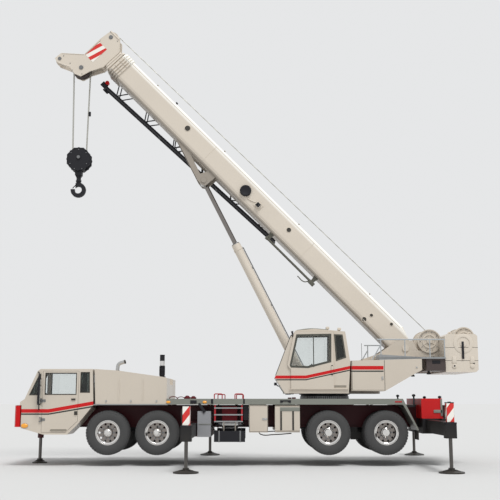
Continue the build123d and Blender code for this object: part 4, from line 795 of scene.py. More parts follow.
class Fitting:
    """A piece under construction: primitives are gathered, then joined into one object on a body."""

    def __init__(self, name: str, body: str, finish: Finish, smooth: float = 32.0) -> None:
        """Start an empty piece.

        Args:
            name: The finished object's name.
            body: The CAD body that it rides on.
            finish: Its finish.
            smooth: Edges flatter than this, in degrees, are shaded smooth.
        """
        self.name = name
        self.body = body
        self.finish = finish
        self.smooth = smooth
        self.parts: list[bpy.types.Object] = []

    @staticmethod
    def clear() -> None:
        """Deselect everything before a primitive is added."""
        bpy.ops.object.select_all(action="DESELECT")

    def take(self, bevel: float = 0.0) -> Self:
        """Apply the active primitive's transform, round its edges and gather it.

        Args:
            bevel: Width of the rounded edges, or 0 for sharp ones.

        Returns:
            The same piece.
        """
        bpy.ops.object.transform_apply(location=True, rotation=True, scale=True)
        made = bpy.context.object
        if bevel:
            rounding = made.modifiers.new("rounding", "BEVEL")
            rounding.width = bevel
            rounding.segments = 2
            rounding.angle_limit = radians(40.0)
            bpy.ops.object.modifier_apply(modifier=rounding.name)
        self.parts.append(made)
        return self

    def block(self, low: Point, high: Point, bevel: float = 0.0) -> Self:
        """Add a box between two corners.

        Args:
            low: Its lowest corner.
            high: Its highest corner.
            bevel: Width of the rounded edges.

        Returns:
            The same piece.
        """
        self.clear()
        bpy.ops.mesh.primitive_cube_add(size=1.0, location=[(a + b) / 2 for a, b in zip(low, high)])
        bpy.context.object.scale = [b - a for a, b in zip(low, high)]
        return self.take(bevel)

    def rod(self, start: Point, end: Point, radius: float, sides: int = 16, bevel: float = 0.0) -> Self:
        """Add a round or many-sided bar between two points.

        Args:
            start: Middle of one end.
            end: Middle of the other end.
            radius: Radius of the bar.
            sides: How many sides go round.
            bevel: Width of the rounded edges.

        Returns:
            The same piece.
        """
        self.clear()
        way = Vector(end) - Vector(start)
        bpy.ops.mesh.primitive_cylinder_add(
            vertices=sides, radius=radius, depth=way.length, location=(Vector(start) + Vector(end)) / 2,
            rotation=way.to_track_quat("Z", "Y").to_euler(),
        )
        return self.take(bevel)

    def ball(self, centre: Point, radii: Point, sides: int = 20) -> Self:
        """Add a ball, or an egg with three radii.

        Args:
            centre: Its middle.
            radii: Its radius along each axis.
            sides: How many sides go round.

        Returns:
            The same piece.
        """
        self.clear()
        bpy.ops.mesh.primitive_uv_sphere_add(segments=sides, ring_count=sides // 2, radius=1.0,
                                             location=centre)
        bpy.context.object.scale = radii
        return self.take()

    def hoop(self, centre: Point, axis: Point, radius: float, thickness: float) -> Self:
        """Add a round ring about an axis.

        Args:
            centre: The ring's middle.
            axis: The line that it runs about.
            radius: Radius to the middle of the ring's section.
            thickness: Radius of that section.

        Returns:
            The same piece.
        """
        self.clear()
        bpy.ops.mesh.primitive_torus_add(
            major_radius=radius, minor_radius=thickness, major_segments=32, minor_segments=8, location=centre,
            rotation=Vector(axis).to_track_quat("Z", "Y").to_euler(),
        )
        return self.take()

    def plate(self, outline: Sequence[Point], through: Point, bevel: float = 0.0) -> Self:
        """Add a flat plate.

        Args:
            outline: Its corners, in order.
            through: Its thickness, as a vector.
            bevel: Rounding of its edges.

        Returns:
            The same piece.
        """
        self.clear()
        bpy.ops.mesh.primitive_circle_add(vertices=len(outline), radius=1.0, fill_type="NGON")
        for vertex, place in zip(bpy.context.object.data.vertices, outline):
            vertex.co = place
        bpy.ops.object.mode_set(mode="EDIT")
        bpy.ops.mesh.select_all(action="SELECT")
        bpy.ops.mesh.extrude_region_move(TRANSFORM_OT_translate={"value": through})
        bpy.ops.mesh.select_all(action="SELECT")
        bpy.ops.mesh.normals_make_consistent(inside=False)
        bpy.ops.object.mode_set(mode="OBJECT")
        return self.take(bevel)

    def frame(self, outline: Outline, y: float, depth: float, width: float) -> Self:
        """Add a strip that runs round an opening, such as a window's rubber.

        Args:
            outline: The opening's corners in X and Z, in order.
            y: Where the strip starts.
            depth: Its thickness along Y.
            width: How far it reaches inwards.

        Returns:
            The same piece.
        """
        inner = inset(outline, width)
        count = len(outline)
        for i in range(count):
            k = (i + 1) % count
            corners = (outline[i], outline[k], inner[k], inner[i])
            self.plate([(x, y, z) for x, z in corners], (0.0, depth, 0.0))
        return self

    def pipe(self, route: Sequence[Point], radius: float) -> Self:
        """Add a round pipe or hose that bends smoothly through the route's points.

        Args:
            route: The points in order.
            radius: Radius of the pipe.

        Returns:
            The same piece.
        """
        self.clear()
        bpy.ops.curve.primitive_bezier_curve_add()
        curve = bpy.context.object.data
        spline = curve.splines[0]
        spline.bezier_points.add(len(route) - len(spline.bezier_points))
        for knot, place in zip(spline.bezier_points, route):
            knot.co = place
            knot.handle_left_type = "AUTO"
            knot.handle_right_type = "AUTO"
        curve.bevel_depth = radius
        curve.bevel_resolution = 2
        curve.resolution_u = 5
        curve.use_fill_caps = True
        bpy.ops.object.convert(target="MESH")
        return self.take()

    def lathe(
        self, profile: Outline, centre: Point, axis: Point = ACROSS, steps: int = 40,
    ) -> Self:
        """Turn a closed profile about an axis.

        Args:
            profile: (along, radius) points in order; a profile that meets the axis starts and ends there.
            centre: Where along is 0.
            axis: The axis.
            steps: Facets round the piece.

        Returns:
            The same piece.
        """
        self.clear()
        line = Vector(axis).normalized()
        out = line.orthogonal().normalized()
        bpy.ops.mesh.primitive_circle_add(vertices=len(profile), radius=1.0, fill_type="NOTHING")
        for vertex, (along, radius) in zip(bpy.context.object.data.vertices, profile):
            vertex.co = Vector(centre) + line * along + out * radius
        bpy.ops.object.mode_set(mode="EDIT")
        bpy.ops.mesh.select_all(action="SELECT")
        bpy.ops.mesh.spin(steps=steps, angle=2 * pi, center=centre, axis=line)
        bpy.ops.mesh.select_all(action="SELECT")
        bpy.ops.mesh.remove_doubles(threshold=0.00002)
        bpy.ops.mesh.delete_loose()
        bpy.ops.mesh.select_all(action="SELECT")
        bpy.ops.mesh.normals_make_consistent(inside=False)
        bpy.ops.object.mode_set(mode="OBJECT")
        return self.take()

    def stamp(self, pattern: "Fitting", moves: Iterable[Matrix]) -> Self:
        """Add a copy of another piece's parts at each placement.

        Args:
            pattern: The piece to copy.
            moves: A transform for each copy; a mirrored one keeps its faces outwards.

        Returns:
            The same piece.
        """
        for move in moves:
            for seed in pattern.parts:
                twin = seed.copy()
                twin.data = seed.data.copy()
                twin.data.transform(move)
                if move.determinant() < 0:
                    twin.data.flip_normals()
                bpy.context.scene.collection.objects.link(twin)
                self.parts.append(twin)
        return self

    def repeat(self, moves: Iterable[Matrix]) -> Self:
        """Add a copy of what has been gathered so far at each placement.

        Args:
            moves: A transform for each copy.

        Returns:
            The same piece.
        """
        pattern = Fitting(self.name, self.body, self.finish)
        pattern.parts = list(self.parts)
        return self.stamp(pattern, moves)

    def both_sides(self) -> Self:
        """Add the mirror image of what has been gathered so far."""
        return self.repeat([MIRRORED])

    def merge(self) -> bpy.types.Object:
        """Join the parts into one object and return it.

        Returns:
            The joined object.
        """
        self.clear()
        for part in self.parts:
            part.select_set(True)
        bpy.context.view_layer.objects.active = self.parts[0]
        if len(self.parts) > 1:
            bpy.ops.object.join()
        self.parts = [bpy.context.object]
        return self.parts[0]

    def discard(self) -> None:
        """Delete a pattern once it has been stamped."""
        for part in self.parts:
            bpy.data.meshes.remove(part.data)

    def done(self) -> bpy.types.Object:
        """Join, shade, finish and seat the piece on its body.

        Returns:
            The finished object.
        """
        piece = self.merge()
        piece.name = self.name
        piece.data.name = self.name
        bpy.ops.object.shade_smooth_by_angle(angle=radians(self.smooth))
        piece.data.materials.clear()
        piece.data.materials.append(self.finish.material())
        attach(piece, self.body)
        return piece


# ------------------------------------------------------------------ running gear
@dataclass
class Wheels:
    """Tyres with their tread, hub covers, wheel nuts and valves."""

    half_width: float = 0.145
    lug_top: float = 0.5285
    lug_foot: float = 0.508
    lug_count: int = 46
    nuts: int = 10
    nut_circle: float = 0.1425
    front_face: float = 1.18
    rear_face: float = 1.05

    def build(self) -> None:
        """Model one of each kind and copy it to the wheel stations."""
        tread = self.tyre()
        patterns = {twin: (self.cover(twin), self.studs(twin)) for twin in (False, True)}
        for node in [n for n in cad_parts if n.endswith("_tyre")]:
            station = node[:-len("_tyre")]
            low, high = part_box(node)
            place = moved((low.x + high.x) / 2, 0.0, (low.z + high.z) / 2)
            side = Matrix() if high.y > 0 else MIRRORED
            twin = high.y - low.y > 3 * self.half_width
            middles = [high.y - self.half_width, low.y + self.half_width] if twin else [(low.y + high.y) / 2]
            tyre = Fitting(f"{station}_tyre_with_tread", f"{station}_wheel", RUBBER)
            tyre.stamp(tread, [place @ moved(y=y) for y in middles])
            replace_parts(tyre.done(), node)
            cover, studs = patterns[twin]
            Fitting(f"{station}_hub_cover", f"{station}_wheel", RIM_LIP).stamp(cover, [place @ side]).done()
            Fitting(f"{station}_wheel_nuts", f"{station}_wheel", STEEL).stamp(studs, [place @ side]).done()
            LOG.info("wheel %s", station)
        for pattern in [tread] + [p for pair in patterns.values() for p in pair]:
            pattern.discard()

    def tyre(self) -> Fitting:
        """Return a tyre about the origin: bulged walls with rib rings, then crown and shoulder blocks.

        Returns:
            The tyre, not yet on any wheel.
        """
        wall = [(0.123, 0.2868), (0.129, 0.3), (0.138, 0.33), (0.1445, 0.375), (0.145, 0.405), (0.142, 0.445),
                (0.135, 0.478), (0.126, 0.499), (0.112, 0.51)]
        tyre = Fitting("tyre", "", RUBBER)
        tyre.lathe([(-a, r) for a, r in wall] + [(a, r) for a, r in reversed(wall)], (0.0, 0.0, 0.0),
                   steps=56)
        for side in (-1, 1):
            tyre.hoop((0.0, side * 0.1415, 0.0), ACROSS, 0.415, 0.0045)
            tyre.hoop((0.0, side * 0.1355, 0.0), ACROSS, 0.33, 0.0035)
        lugs = Fitting("lugs", "", RUBBER)
        half_pitch = turned_about((0, 0, 0), ACROSS, pi / self.lug_count)
        for low, high in ((-0.122, -0.07), (0.006, 0.062)):
            lugs.block((-0.025, low, self.lug_foot - 0.006), (0.025, high, self.lug_top))
        lugs.block((-0.014, 0.112, 0.47), (0.014, 0.1405, 0.5))
        lugs.merge()
        row = Fitting("row", "", RUBBER)
        row.stamp(lugs, [Matrix(), half_pitch @ MIRRORED])
        lugs.discard()
        row.merge()
        row.repeat(around((0, 0, 0), ACROSS, self.lug_count)[1:])
        tyre.parts.append(row.merge())
        tyre.merge()
        return tyre

    def cover(self, twin: bool) -> Fitting:
        """Return a hub cover on the left side: a stepped cap, with a flange on a driven axle.

        Args:
            twin: Whether the cover is for a driven axle with twin wheels.

        Returns:
            The cover, not yet on any wheel.
        """
        cover = Fitting("cover", "", STAINLESS)
        if twin:
            cover.lathe([(1.135, 0.0), (1.135, 0.108), (1.15, 0.108), (1.156, 0.098), (1.186, 0.092),
                         (1.196, 0.082), (1.198, 0.0)], (0.0, 0.0, 0.0))
        else:
            cover.lathe([(1.21, 0.0), (1.21, 0.086), (1.218, 0.086), (1.222, 0.068), (1.238, 0.062),
                         (1.244, 0.052), (1.245, 0.0)], (0.0, 0.0, 0.0))
        # rolled edge of the rim, which covers the tyre's bead
        cover.lathe([(1.205, 0.238), (1.222, 0.286), (1.229, 0.292), (1.236, 0.295), (1.238, 0.288),
                     (1.232, 0.272), (1.212, 0.238)], (0.0, 0.0, 0.0), steps=56)
        cover.merge()
        return cover

    def studs(self, twin: bool) -> Fitting:
        """Return the nuts on the disc, the cap's small bolts and the valve, on the left side.

        Args:
            twin: Whether the disc is that of a driven axle with twin wheels.

        Returns:
            The nuts, not yet on any wheel.
        """
        face = self.rear_face if twin else self.front_face
        studs = Fitting("studs", "", STEEL)
        studs.rod((0.0, face - 0.006, self.nut_circle), (0.0, face + 0.003, self.nut_circle), 0.022)
        studs.rod((0.0, face, self.nut_circle), (0.0, face + 0.024, self.nut_circle), 0.0165, 6)
        studs.rod((0.0, face, self.nut_circle), (0.0, face + 0.036, self.nut_circle), 0.0105, 10)
        studs.merge()
        studs.repeat(around((0, 0, 0), ACROSS, self.nuts, pi / self.nuts)[1:] + [Matrix()])
        cap = Fitting("cap", "", STEEL)
        reach, circle = (1.15, 0.1) if twin else (1.218, 0.077)
        cap.rod((0.0, reach - 0.004, circle), (0.0, reach + 0.006, circle), 0.006, 6)
        cap.merge()
        cap.repeat(around((0, 0, 0), ACROSS, 8)[1:])
        studs.parts.append(cap.merge())
        studs.pipe([(0.232, face + 0.002, 0.0), (0.238, face + 0.04, 0.0), (0.25, face + 0.052, 0.0)], 0.005)
        studs.merge()
        return studs


@dataclass
class Outriggers:
    """What the jack housings and floats carry: films, bolts, hoses and gussets."""

    collar_height: float = 0.343
    tube_half: float = 0.08
    collar_half: float = 0.12
    band_half: float = 0.1235       # strips round the collar's top
    film: float = 0.004
    gussets: int = 8

    def build(self) -> None:
        """Fit out the four corner jacks and the nose jack."""
        for node in [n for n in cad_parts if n.endswith("_beam")]:
            self.corner(node[:-len("_beam")])
        for node in [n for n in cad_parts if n.endswith("_jack")]:
            self.float_ribs(node)
        LOG.info("outriggers")

    def corner(self, station: str) -> None:
        """Add the films, bolts, top plate and hose of one jack housing.

        Args:
            station: The corner's name, such as front_left.
        """
        low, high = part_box(f"{station}_beam")
        x = (low.x + high.x) / 2
        side = 1 if high.y > 0 else -1
        y = (high.y if side > 0 else low.y) - side * self.collar_half
        foot = low.z + self.collar_height
        body = f"{station}_beam"
        half = self.tube_half
        wide, base, peak = half - 0.002, foot + 0.008, high.z - 0.008
        film = Fitting(f"{station}_hazard_film", body, JACK_FILM)
        sides = Fitting(f"{station}_hazard_film_sides", body, JACK_FILM_SIDE)
        for near, far in ((-half - self.film, -half), (half, half + self.film)):
            film.block((x - wide, y + near, base), (x + wide, y + far, peak))
            sides.block((x + near, y - wide, base), (x + far, y + wide, peak))
        film.done()
        sides.done()
        iron = Fitting(f"{station}_jack_housing_fittings", body, SATIN_BLACK)
        iron.block((x - 0.088, y - 0.088, high.z - 0.008), (x + 0.088, y + 0.088, high.z + 0.012), 0.004)
        iron.rod((x, y, high.z), (x, y, high.z + 0.025), 0.038)
        out = self.band_half
        for near, far in ((-out, -0.117), (0.117, out)):
            iron.block((x + near, y - out, foot - 0.03), (x + far, y + out, foot), 0.002)
            iron.block((x - out, y + near, foot - 0.03), (x + out, y + far, foot), 0.002)
        for dx in (-0.09, 0.09):
            for z in (low.z + 0.05, low.z + 0.17, low.z + 0.27):
                iron.rod((x + dx, y + side * 0.115, z), (x + dx, y + side * 0.1245, z), 0.012, 6)
        iron.done()
        Fitting(f"{station}_jack_hose", body, GASKET).pipe(
            [(x + 0.075, y, high.z - 0.05), (x + 0.098, y, high.z - 0.07), (x + 0.102, y, foot + 0.1),
             (x + 0.085, y, foot + 0.015)], 0.01,
        ).done()

    def float_ribs(self, node: str) -> None:
        """Add the gussets and the swivel pin on a jack's float.

        Args:
            node: The jack's node.
        """
        low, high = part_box(node)
        x, y, reach = (low.x + high.x) / 2, (low.y + high.y) / 2, (high.x - low.x) / 2
        ribs = Fitting(f"{node}_float_gussets", node, BLACK)
        ribs.plate([(0.066, -0.006, 0.05), (reach * 0.8, -0.006, 0.026), (reach * 0.8, -0.006, 0.038),
                    (0.066, -0.006, 0.084)], (0.0, 0.012, 0.0))
        ribs.repeat(around((0, 0, 0), UPRIGHT, self.gussets)[1:])
        ribs.lathe([(0.038, 0.108), (0.056, 0.108), (0.056, 0.12), (0.052, 0.126), (0.034, 0.126)],
                   (0, 0, 0), UPRIGHT)
        ribs.rod((0.0, -0.085, 0.07), (0.0, 0.085, 0.07), 0.01)
        ribs.merge()
        placed = Fitting(ribs.name, node, BLACK).stamp(ribs, [moved(x, y)])
        ribs.discard()
        placed.done()


# ------------------------------------------------------------------ carrier
@dataclass
class CarrierCab:
    """Rubbers, wipers, lamps, door latch, mirror glass and dash of the driving cab."""

    inner: float = CAB_INNER
    outer: float = CAB_OUTER
    side_lamp_z: float = 0.955

    def build(self) -> None:
        """Fit out the cab, its door and the bumper."""
        self.rubbers()
        self.wipers()
        self.lamps()
        self.door()
        self.dash()
        LOG.info("carrier cab")

    def rubbers(self) -> None:
        """Add window rubbers, round the panes and the windscreen."""
        quarter = [(3.835, 1.74), (4.075, 1.74), (4.075, 2.238), (3.85, 2.238)]
        corner = [(5.03, 1.68), (5.31, 1.68), (5.075, 2.19), (5.03, 2.2)]
        rubber = Fitting("cab_window_rubbers", "carrier", GASKET)
        for outline in (quarter, corner):
            rubber.frame(outline, self.outer - 0.004, 0.008, 0.022)
            rubber.frame(outline, self.inner - 0.004, 0.008, 0.022)
        rubber.frame([(4.15, 1.69), (4.95, 1.69), (4.95, 2.238), (4.15, 2.238)], self.inner - 0.004, 0.008,
                     0.022)
        low, high = (5.388, 1.64), (5.133, 2.215)
        for y in (self.inner + 0.075, self.outer - 0.075):
            rubber.rod((low[0], y, low[1]), (high[0], y, high[1]), 0.013, 8)
        for x, z in (low, high):
            rubber.rod((x, self.inner + 0.07, z), (x, self.outer - 0.07, z), 0.013, 8)
        # folded bellows between the cab and the engine hood
        for fold in range(3):
            rubber.block((3.712 + 0.011 * fold, 0.47, 1.472), (3.718 + 0.011 * fold, 1.205, 2.262))
        rubber.done()
        door = Fitting("cab_door_window_rubber", "carrier_door", GASKET)
        door.frame([(4.16, 1.69), (4.93, 1.69), (4.93, 2.22), (4.16, 2.22)], self.outer - 0.004, 0.008, 0.022)
        door.done()

    def wipers(self) -> None:
        """Add two wipers, parked a little up the windscreen."""
        wiper = Fitting("windscreen_wipers", "carrier", GASKET)
        for y in (0.62, 0.93):
            wiper.rod((5.412, y, 1.628), (5.398, y + 0.01, 1.648), 0.016, 12)
            wiper.pipe([(5.412, y, 1.64), (5.372, y + 0.09, 1.742), (5.325, y + 0.16, 1.85)], 0.006)
            wiper.block((-0.006, -0.008, -0.24), (0.006, 0.008, 0.24), 0.002)
            blade = wiper.parts.pop()
            blade.data.transform(moved(5.318, y + 0.165, 1.86) @ Matrix.Rotation(radians(-23.8), 4, "Y"))
            wiper.parts.append(blade)
        wiper.done()

    def lamps(self) -> None:
        """Add the side lamp, the headlamps with their bezels, the turn lamps and the bumper's step pad."""
        lens = Fitting("cab_side_lamp_lens", "carrier", AMBER)
        lens.ball((5.385, self.outer + 0.006, self.side_lamp_z), (0.085, 0.02, 0.055)).done()
        bezel = Fitting("lamp_bezels", "carrier", STAINLESS)
        bezel.lathe([(-0.004, 0.08), (-0.004, 0.094), (0.008, 0.092), (0.008, 0.084)],
                    (5.385, self.outer, self.side_lamp_z))
        # the ring is turned round, then flattened to the lamp's oval
        flat = moved(z=self.side_lamp_z) @ Matrix.Scale(0.68, 4, Vector(UPRIGHT)) @ moved(z=-self.side_lamp_z)
        bezel.parts[-1].data.transform(flat)
        lens = Fitting("headlamp_lenses", "carrier", CLEAR_LENS)
        for y in (0.868, 1.012):
            bezel.lathe([(0.0, 0.052), (0.0, 0.066), (0.02, 0.066), (0.026, 0.058), (0.02, 0.052)],
                        (5.621, y, 1.24), (1, 0, 0), 28)
            lens.ball((5.625, y, 1.24), (0.018, 0.055, 0.055))
        bezel.both_sides().done()
        lens.both_sides().done()
        amber = Fitting("front_turn_lenses", "carrier", AMBER)
        amber.block((5.622, 0.8, 1.3), (5.648, 1.08, 1.324), 0.005).both_sides().done()
        edge = Fitting("bumper_step_pads", "carrier", GASKET)
        edge.block((5.52, -1.1, 1.432), (5.64, 1.1, 1.44), 0.003).done()

    def door(self) -> None:
        """Add the door's latch and step slot, and the mirror's glass."""
        latch = Fitting("cab_door_latch", "carrier_door", GASKET)
        latch.block((4.124, self.outer, 1.212), (4.2, self.outer + 0.012, 1.3), 0.004)
        latch.block((4.136, self.outer + 0.01, 1.228), (4.188, self.outer + 0.028, 1.262), 0.005).done()
        slot = Fitting("cab_door_step_slot_rim", "carrier_door", CREAM)
        slot.plate(stadium(4.345, 4.785, 0.808, 0.892, self.outer - 0.002), (0.0, 0.008, 0.0), 0.002).done()
        # painted shade in the step's recess
        well = Fitting("cab_door_step_slot_well", "carrier_door", SLOT_SHADE)
        well.plate(stadium(4.362, 4.768, 0.822, 0.878, self.outer + 0.004), (0.0, 0.004, 0.0)).done()
        glass = Fitting("mirror_glass", "carrier", MIRROR)
        glass.block((5.006, 1.3, 1.48), (5.0125, 1.41, 1.9), 0.002)
        glass.block((5.006, 1.3, 1.925), (5.0125, 1.41, 2.055), 0.002).done()

    def dash(self) -> None:
        """Add the instrument hood, the wheel's rim and hub, and the gear lever."""
        dash = Fitting("cab_instruments", "carrier", TRIM)
        dash.block((5.15, 0.62, 1.545), (5.26, 1.08, 1.64), 0.03)
        dash.hoop((4.941, SEAT_MIDDLE, 1.613), (-180, 0, 140), 0.202, 0.016)
        dash.ball((4.93, SEAT_MIDDLE, 1.622), (0.045, 0.045, 0.045))
        dash.pipe([(4.9, 0.62, 0.8), (4.88, 0.62, 1.05), (4.93, 0.62, 1.22)], 0.012)
        dash.ball((4.935, 0.62, 1.235), (0.028, 0.028, 0.03)).done()


@dataclass
class EngineHood:
    """Stack ring and heat shield, intake mouth and latches of the engine hood."""

    stack: tuple[float, float] = (2.155, 0.62)
    stack_radius: float = 0.06
    stack_top: float = 2.68
    side: float = 1.22

    def build(self) -> None:
        """Fit out the hood."""
        x, y = self.stack
        ring = Fitting("stack_ring", "carrier", RIM_LIP)
        ring.lathe([(2.415, 0.059), (2.415, 0.064), (2.53, 0.064), (2.53, 0.059)], (x, y, 0.0), UPRIGHT)
        ring.done()
        shield = Fitting("stack_heat_shield", "carrier", SATIN_BLACK)
        # slats of the heat shield round the pipe
        shield.rod((x + 0.066, y, 2.17), (x + 0.066, y, 2.4), 0.006, 6)
        shield.repeat(around((x, y, 0.0), UPRIGHT, 14)[1:])
        for z in (2.18, 2.285, 2.395):
            shield.hoop((x, y, z), UPRIGHT, 0.068, 0.006)
        shield.hoop((x, y, self.stack_top), UPRIGHT, self.stack_radius, 0.005).done()
        latch = Fitting("hood_latches", "carrier", STAINLESS)
        for at in (2.22, 2.84, 3.44):
            latch.block((at - 0.02, self.side - 0.002, 1.52), (at + 0.02, self.side + 0.01, 1.56), 0.003)
            latch.block((at - 0.008, self.side + 0.006, 1.51), (at + 0.008, self.side + 0.016, 1.57), 0.003)
        latch.both_sides().done()
        mouth = Fitting("intake_mouth", "carrier", GASKET)
        mouth.lathe([(-0.01, 0.036), (-0.01, 0.05), (0.02, 0.05), (0.026, 0.036)], (3.058, 0.9, 2.4976),
                    (-170, 0, 50))
        mouth.hoop((3.235, 0.9, 2.278), (0, 0, 1), 0.052, 0.008).done()
        LOG.info("engine hood")


@dataclass
class CarrierDeck:
    """Lamps, knobs, brackets and small gear along the decks, lockers and tail."""

    edge: float = 1.25
    top: float = 1.596
    locker_face: float = 1.2385

    def build(self) -> None:
        """Fit out the decks and the equipment below them."""
        self.lamps()
        self.brackets()
        self.lockers()
        self.pipes()
        self.tail()
        LOG.info("carrier deck")

    def lamps(self) -> None:
        """Add the side lamps, marker lenses and beacon housings along the deck."""
        amber = Fitting("deck_side_lamps", "carrier", AMBER)
        for x in (1.051, 1.93):
            amber.ball((x, self.edge + 0.002, 1.515), (0.052, 0.016, 0.032))
        amber.both_sides().done()
        red = Fitting("deck_marker_lenses", "carrier", RED_LENS)
        red.block((-3.72, self.edge - 0.002, 1.505), (-3.55, self.edge + 0.01, 1.542), 0.006)
        red.both_sides().done()
        knob = Fitting("deck_beacon_housings", "carrier", MAROON_GLOSS)
        knob.block((1.4, 1.12, self.top), (1.56, 1.2, self.top + 0.045), 0.014)
        knob.ball((1.48, 1.16, self.top + 0.045), (0.055, 0.036, 0.034))
        knob.block((-1.16, 1.1, self.top), (-1.06, 1.18, self.top + 0.035), 0.012)
        knob.pipe([(1.72, 1.2, self.top), (1.73, 1.2, self.top + 0.028), (1.9, 1.2, self.top + 0.028),
                   (1.91, 1.2, self.top)], 0.01).both_sides().done()

    def brackets(self) -> None:
        """Add the dark brackets under the deck's edge and the tanks' cover plates."""
        iron = Fitting("deck_edge_brackets", "carrier", SATIN_BLACK)
        y = self.edge
        iron.block((0.845, y - 0.02, 1.475), (0.9, y + 0.006, 1.59), 0.006)
        iron.block((0.08, y - 0.02, 1.475), (0.122, y + 0.006, 1.59), 0.006)
        iron.plate([(-0.775, y - 0.01, 1.56), (-1.035, y - 0.01, 1.56), (-1.035, y - 0.01, 1.5),
                    (-0.985, y - 0.01, 1.5), (-0.96, y - 0.01, 1.53), (-0.85, y - 0.01, 1.53),
                    (-0.825, y - 0.01, 1.5), (-0.775, y - 0.01, 1.5)], (0.0, 0.024, 0.0), 0.003)
        iron.both_sides()
        # only the left side has room beside its front beam
        iron.block((1.245, y - 0.02, 1.478), (1.4, y + 0.014, 1.56), 0.01)
        brace = [(x, y - 0.02, z) for x, z in ((1.165, 1.5), (1.218, 1.475), (1.07, 1.24), (1.02, 1.3))]
        iron.plate(brace, (0.0, 0.03, 0.0), 0.004).done()
        grey = Fitting("tank_cover_plates", "carrier", GREY)
        grey.block((-1.245, self.locker_face, 1.3), (-0.77, 1.2465, 1.396), 0.002)
        grey.both_sides()
        grey.block((0.88, 1.234, 0.985), (1.19, 1.246, 1.0), 0.002).done()

    def lockers(self) -> None:
        """Add locker seams, latches and hinges."""
        face = self.locker_face
        seam = Fitting("locker_seams", "carrier", GASKET)
        for x in (-0.47, -0.034):
            seam.block((x - 0.004, face, 0.815), (x + 0.004, 1.2425, 1.43))
        for z in (0.815, 1.43):
            seam.block((-0.47, face, z - 0.004), (-0.034, 1.2425, z + 0.004))
        seam.both_sides().done()
        latch = Fitting("locker_latches", "carrier", STAINLESS)
        latch.block((-0.461, face, 1.085), (-0.341, 1.248, 1.14), 0.006)
        latch.block((-0.43, 1.246, 1.1), (-0.37, 1.26, 1.125), 0.006)
        for z in (0.93, 1.31):
            latch.rod((-0.028, 1.243, z - 0.05), (-0.028, 1.243, z + 0.05), 0.008, 10)
        latch.both_sides().done()
        battery = Fitting("battery_box_lid", "carrier", SATIN_BLACK)
        battery.block((-0.012, 1.176, 1.395), (0.122, 1.188, 1.435), 0.004)
        for z in (1.15, 1.21, 1.27, 1.33):
            battery.block((0.0, 1.178, z - 0.012), (0.102, 1.186, z + 0.012), 0.003)
        battery.both_sides().done()

    def pipes(self) -> None:
        """Add the tail pipe, the air lines and the air tanks' bands."""
        tail = Fitting("exhaust_and_air_pipes", "carrier", STEEL)
        tail.pipe([(0.634, 0.985, 0.984), (0.7, 0.985, 0.984), (0.76, 0.93, 0.99), (0.8, 0.82, 1.02)], 0.038)
        tail.pipe([(0.244, 0.985, 0.984), (0.18, 0.985, 0.99), (0.13, 0.9, 1.03), (0.1, 0.72, 1.08)], 0.038)
        tail.done()
        hose = Fitting("chassis_air_lines", "carrier", GASKET)
        for offset in (0.0, 0.035):
            hose.pipe([(-1.05, 1.1 - offset, 0.77), (-0.62, 1.12 - offset, 0.742), (-0.3, 1.1 - offset, 0.75),
                       (-0.26, 1.06 - offset, 0.8)], 0.012)
            hose.pipe([(0.8, 1.05 - offset, 0.84), (0.86, 1.04 - offset, 0.9), (0.885, 1.03 - offset, 1.02),
                       (0.86, 1.0 - offset, 1.2), (0.8, 0.92 - offset, 1.42)], 0.01)
        hose.both_sides().done()
        band = Fitting("air_tank_bands", "carrier", STEEL)
        for x in (0.19, 0.7):
            band.block((x - 0.018, 0.755, 0.566), (x + 0.018, 1.245, 0.836), 0.003)
        band.both_sides().done()

    def tail(self) -> None:
        """Add the tail lamps, towing jaw, knobs and rear stowage gear."""
        back = -4.97
        box = Fitting("tail_lamp_housings", "carrier", SATIN_BLACK)
        lens = Fitting("tail_lamp_lenses", "carrier", RED_LENS)
        box.block((back - 0.045, 0.6, 0.93), (back + 0.005, 0.96, 1.06), 0.012)
        for y in (0.67, 0.78):
            lens.ball((back - 0.046, y, 0.995), (0.014, 0.046, 0.046))
        lens.both_sides().done()
        amber = Fitting("tail_turn_lenses", "carrier", AMBER)
        amber.ball((back - 0.046, 0.89, 0.995), (0.014, 0.046, 0.046)).both_sides().done()
        for x, y, z in ((-4.023, 1.16, 1.64), (-4.7, 0.94, 1.6)):
            box.rod((x, y, z - 0.05), (x, y, z + 0.02), 0.02, 12)
            box.ball((x, y, z + 0.035), (0.045, 0.045, 0.034))
        box.block((-4.045, 1.14, 1.4), (-4.005, 1.18, 1.62), 0.006)
        box.block((-4.04, 1.0, 1.4), (-3.74, 1.18, 1.43), 0.004)
        box.both_sides()
        # the towing jaw stands in the middle
        for z in (0.86, 0.97):
            box.block((back - 0.1, -0.13, z), (back + 0.01, 0.13, z + 0.04), 0.008)
        box.rod((back - 0.07, 0.0, 0.82), (back - 0.07, 0.0, 1.05), 0.022).done()
        grey = Fitting("tail_stowage_bracket", "carrier", GREY)
        grey.block((-4.752, 1.0005, 1.255), (-4.53, 1.016, 1.33), 0.004)
        grey.block((-4.745, 1.0005, 1.18), (-4.7, 1.016, 1.585), 0.004).both_sides().done()


def stadium(x0: float, x1: float, z0: float, z1: float, y: float, steps: int = 8) -> list[Point]:
    """Return the outline of a slot with round ends, at one Y.

    Args:
        x0: Lowest X.
        x1: Highest X.
        z0: Lowest Z.
        z1: Highest Z.
        y: Where the outline lies along Y.
        steps: Chords in each round end.

    Returns:
        The points in order.
    """
    radius = (z1 - z0) / 2
    middle = (z0 + z1) / 2
    points = []
    for centre, start in ((x1 - radius, -pi / 2), (x0 + radius, pi / 2)):
        for i in range(steps + 1):
            a = start + pi * i / steps
            points.append((centre + radius * cos(a), y, middle + radius * sin(a)))
    return points


